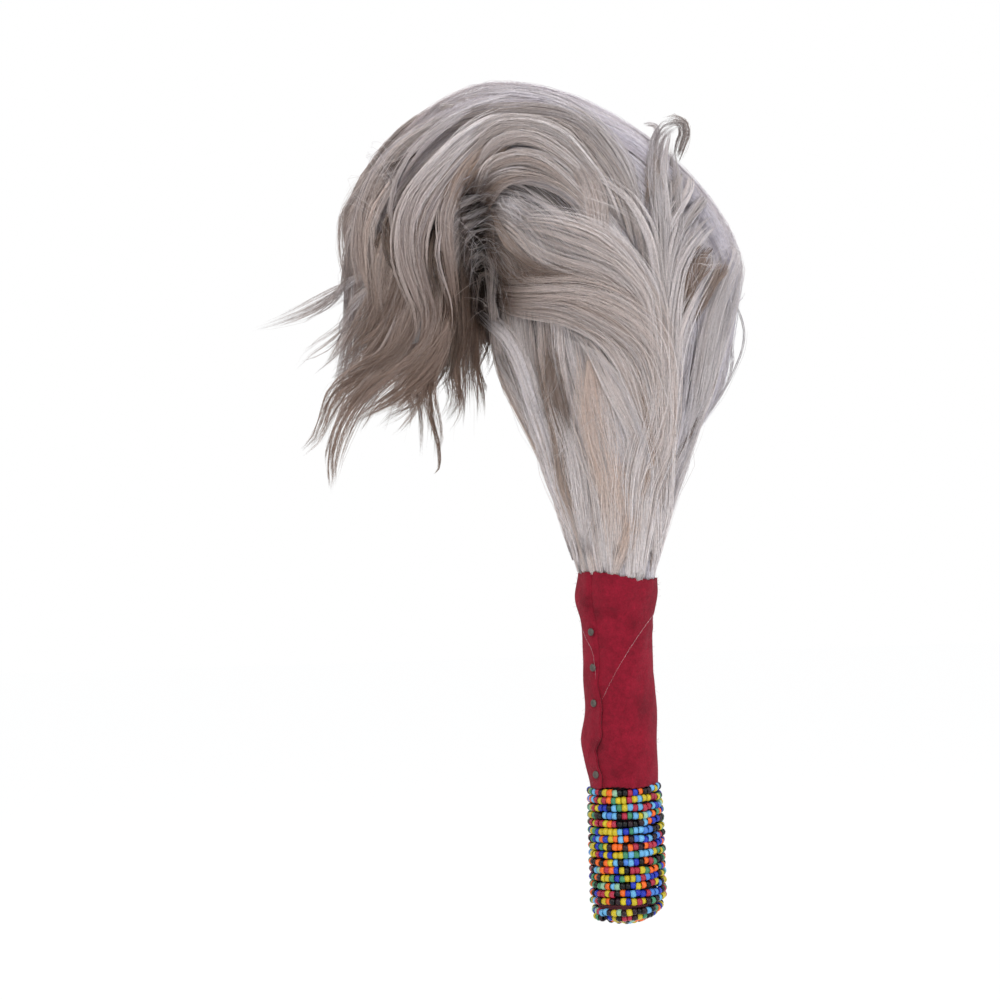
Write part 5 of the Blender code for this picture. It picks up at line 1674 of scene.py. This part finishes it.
class WHISK_OT_loose_hairs(bpy.types.Operator):
    """Adds single loose hairs over the tail and its outline"""
    bl_idname = "whisk.loose_hairs"
    bl_label = "Loose Hairs"

    def execute(self, context):
        settings = context.scene.whisk_hair
        rng = np.random.default_rng(71)
        hair = Strands()
        count = int(800 * settings.fullness)
        steps = 16
        first = rng.uniform(2.0, 14.0, (count, 1))
        end = np.minimum(first + rng.uniform(3.0, 9.0, (count, 1)), 18.8)
        run = np.linspace(0.0, 1.0, steps)[None, :]
        at = first + (end - first) * run
        turn = rng.uniform(0, 2 * math.pi, (count, 1)) + rng.normal(0, 0.45, (count, 1)) * run
        turn = turn + settings.frizz * 0.07 * wander(rng, count, steps, (0.8, 2.0, 4.0))
        high = 0.965 + rng.uniform(0.0, 0.045, (count, 1))
        high = high + settings.frizz * 0.025 * wander(rng, count, steps, (0.7, 1.8))
        high = high + 0.05 * rng.random((count, 1)) ** 3 * run ** 2
        paths = flow_point(at, high, turn)
        widths = 0.42 * settings.strand_width * rng.uniform(0.7, 1.3, (count, 1))
        widths = widths * taper(steps, 0.5, 0.3)[None, :]
        shades = rng.normal(0.6, 0.25, (count, 1)).clip(0, 1.2)
        hair.add(paths, widths, shades, rng.normal(0.0, 0.25, (count, 1)).clip(-1, 1), wear_at(at))
        self.add_fuzz(settings, rng, hair)
        bend_at_mouth(hair.make("loose_hairs", hair_finish(settings)))
        return {"FINISHED"}

    def add_fuzz(self, settings, rng, hair):
        """Short broken hairs that stand off the outside of the arch."""
        count = int(900 * settings.fullness)
        steps = 6
        run = np.linspace(0.0, 1.0, steps)[None, :]
        at = rng.uniform(6.0, 17.5, (count, 1)) + rng.uniform(-0.1, 0.45, (count, 1)) * run
        turn = rng.normal(0.0, 0.5, (count, 1)) + rng.normal(0.0, 0.06, (count, 1)) * run
        high = rng.uniform(0.96, 1.0, (count, 1)) + rng.uniform(0.02, 0.075, (count, 1)) * run ** 1.3
        widths = 0.35 * settings.strand_width * rng.uniform(0.6, 1.2, (count, 1))
        widths = widths * taper(steps, 0.5, 0.3)[None, :]
        shades = rng.normal(0.6, 0.2, (count, 1)).clip(0, 1)
        hair.add(flow_point(at, high, turn), widths, shades, rng.normal(-0.1, 0.15, (count, 1)), wear_at(at))


class WHISK_OT_stage(bpy.types.Operator):
    """Sets up the camera, the floor and soft studio light"""
    bl_idname = "whisk.stage"
    bl_label = "Stage"

    def execute(self, context):
        settings = context.scene.whisk_stage
        scene = context.scene
        camera = bpy.data.cameras.new("photo_camera")
        camera.sensor_width = 36.0
        camera.lens = 36.0 * CAMERA_DISTANCE / (1000 * PIXEL)
        camera.clip_end = 50.0
        holder = bpy.data.objects.new("photo_camera", camera)
        back = PICTURE_RIGHT.cross(PICTURE_UP)
        turn = Matrix((PICTURE_RIGHT, PICTURE_UP, back)).transposed().to_4x4()
        holder.matrix_world = Matrix.Translation(camera_place()) @ turn
        scene.collection.objects.link(holder)
        scene.camera = holder

        deselect_all()
        bpy.ops.mesh.primitive_plane_add(size=12.0, location=(0.0, 0.0, -0.20))
        floor = bpy.context.object
        bpy.ops.object.transform_apply()
        material, tree = new_finish("studio_floor")
        paint = node(tree, "ShaderNodeBsdfDiffuse", {"Color": shader_colour(settings.floor_colour)})
        glow = node(tree, "ShaderNodeEmission", {"Color": (1, 1, 1, 1), "Strength": 1.04})
        ray = node(tree, "ShaderNodeLightPath")
        seen = node(tree, "ShaderNodeMath", {0: ray.outputs["Is Camera Ray"], 1: 0.9}, operation="MULTIPLY")
        both = node(tree, "ShaderNodeMixShader", {0: seen, 1: paint, 2: glow})
        finish_with(tree, both)
        name_piece(floor, "studio_floor", material)

        world = bpy.data.worlds.new("studio_world")
        world.use_nodes = True
        sky = world.node_tree
        sky.nodes.clear()
        path = node(sky, "ShaderNodeLightPath")
        shown = node(sky, "ShaderNodeMath", {
            0: path.outputs["Is Camera Ray"], 1: path.outputs["Is Glossy Ray"]}, operation="MAXIMUM")
        soft = node(sky, "ShaderNodeBackground", {"Color": (0.95, 0.97, 1.0, 1.0), "Strength": 0.68})
        white = node(sky, "ShaderNodeBackground", {"Color": (1, 1, 1, 1), "Strength": 1.0})
        mixed = node(sky, "ShaderNodeMixShader", {0: shown, 1: soft, 2: white})
        node(sky, "ShaderNodeOutputWorld", {"Surface": mixed})
        scene.world = world

        for name, place, power, size, tint in (
                ("key_light", (-0.75, -1.3, 1.25), settings.key_power, 1.1, (1.0, 0.97, 0.94)),
                ("fill_light", (1.2, -1.1, 0.5), settings.key_power * 0.75, 1.2, (0.95, 0.97, 1.0)),
                ("top_light", (0.1, 0.35, 1.5), settings.key_power * 0.9, 1.2, (0.92, 0.94, 1.0))):
            light = bpy.data.lights.new(name, "AREA")
            light.energy = power
            light.size = size
            light.color = tint
            lamp = bpy.data.objects.new(name, light)
            aim = Vector((-0.03, 0.0, 0.16)) - Vector(place)
            lamp.matrix_world = Matrix.Translation(place) @ aim.to_track_quat("-Z", "Y").to_matrix().to_4x4()
            scene.collection.objects.link(lamp)
        return {"FINISHED"}


class WHISK_PT_panel(bpy.types.Panel):
    """Lists the whisk's pieces"""
    bl_idname = "WHISK_PT_panel"
    bl_label = "Fly Whisk"
    bl_space_type = "VIEW_3D"
    bl_region_type = "UI"
    bl_category = "Fly Whisk"

    def draw(self, context):
        for settings in (context.scene.whisk_stage, context.scene.whisk_beads, context.scene.whisk_sleeve,
                         context.scene.whisk_hair):
            box = self.layout.box()
            for name in settings.__annotations__:
                box.prop(settings, name)
        for operator in PIECES:
            self.layout.operator(operator.bl_idname)


PIECES = (WHISK_OT_stage, WHISK_OT_grip, WHISK_OT_underlay, WHISK_OT_beads, WHISK_OT_sleeve,
          WHISK_OT_inner_hair, WHISK_OT_hair_mass, WHISK_OT_outer_locks, WHISK_OT_front_locks, WHISK_OT_ends,
          WHISK_OT_loose_hairs)
SETTINGS = {"whisk_stage": WhiskStageSettings, "whisk_beads": WhiskBeadSettings,
            "whisk_sleeve": WhiskSleeveSettings, "whisk_hair": WhiskHairSettings}


def register():
    for cls in (*SETTINGS.values(), *PIECES, WHISK_PT_panel):
        bpy.utils.register_class(cls)
    for name, cls in SETTINGS.items():
        setattr(bpy.types.Scene, name, PointerProperty(type=cls))


def unregister():
    for name in SETTINGS:
        delattr(bpy.types.Scene, name)
    for cls in (WHISK_PT_panel, *reversed(PIECES), *reversed(SETTINGS.values())):
        bpy.utils.unregister_class(cls)


def main():
    register()
    bpy.context.scene.view_settings.view_transform = "Standard"
    for operator in PIECES:
        group, name = operator.bl_idname.split(".")
        getattr(getattr(bpy.ops, group), name)()


if __name__ == "__main__":
    main()
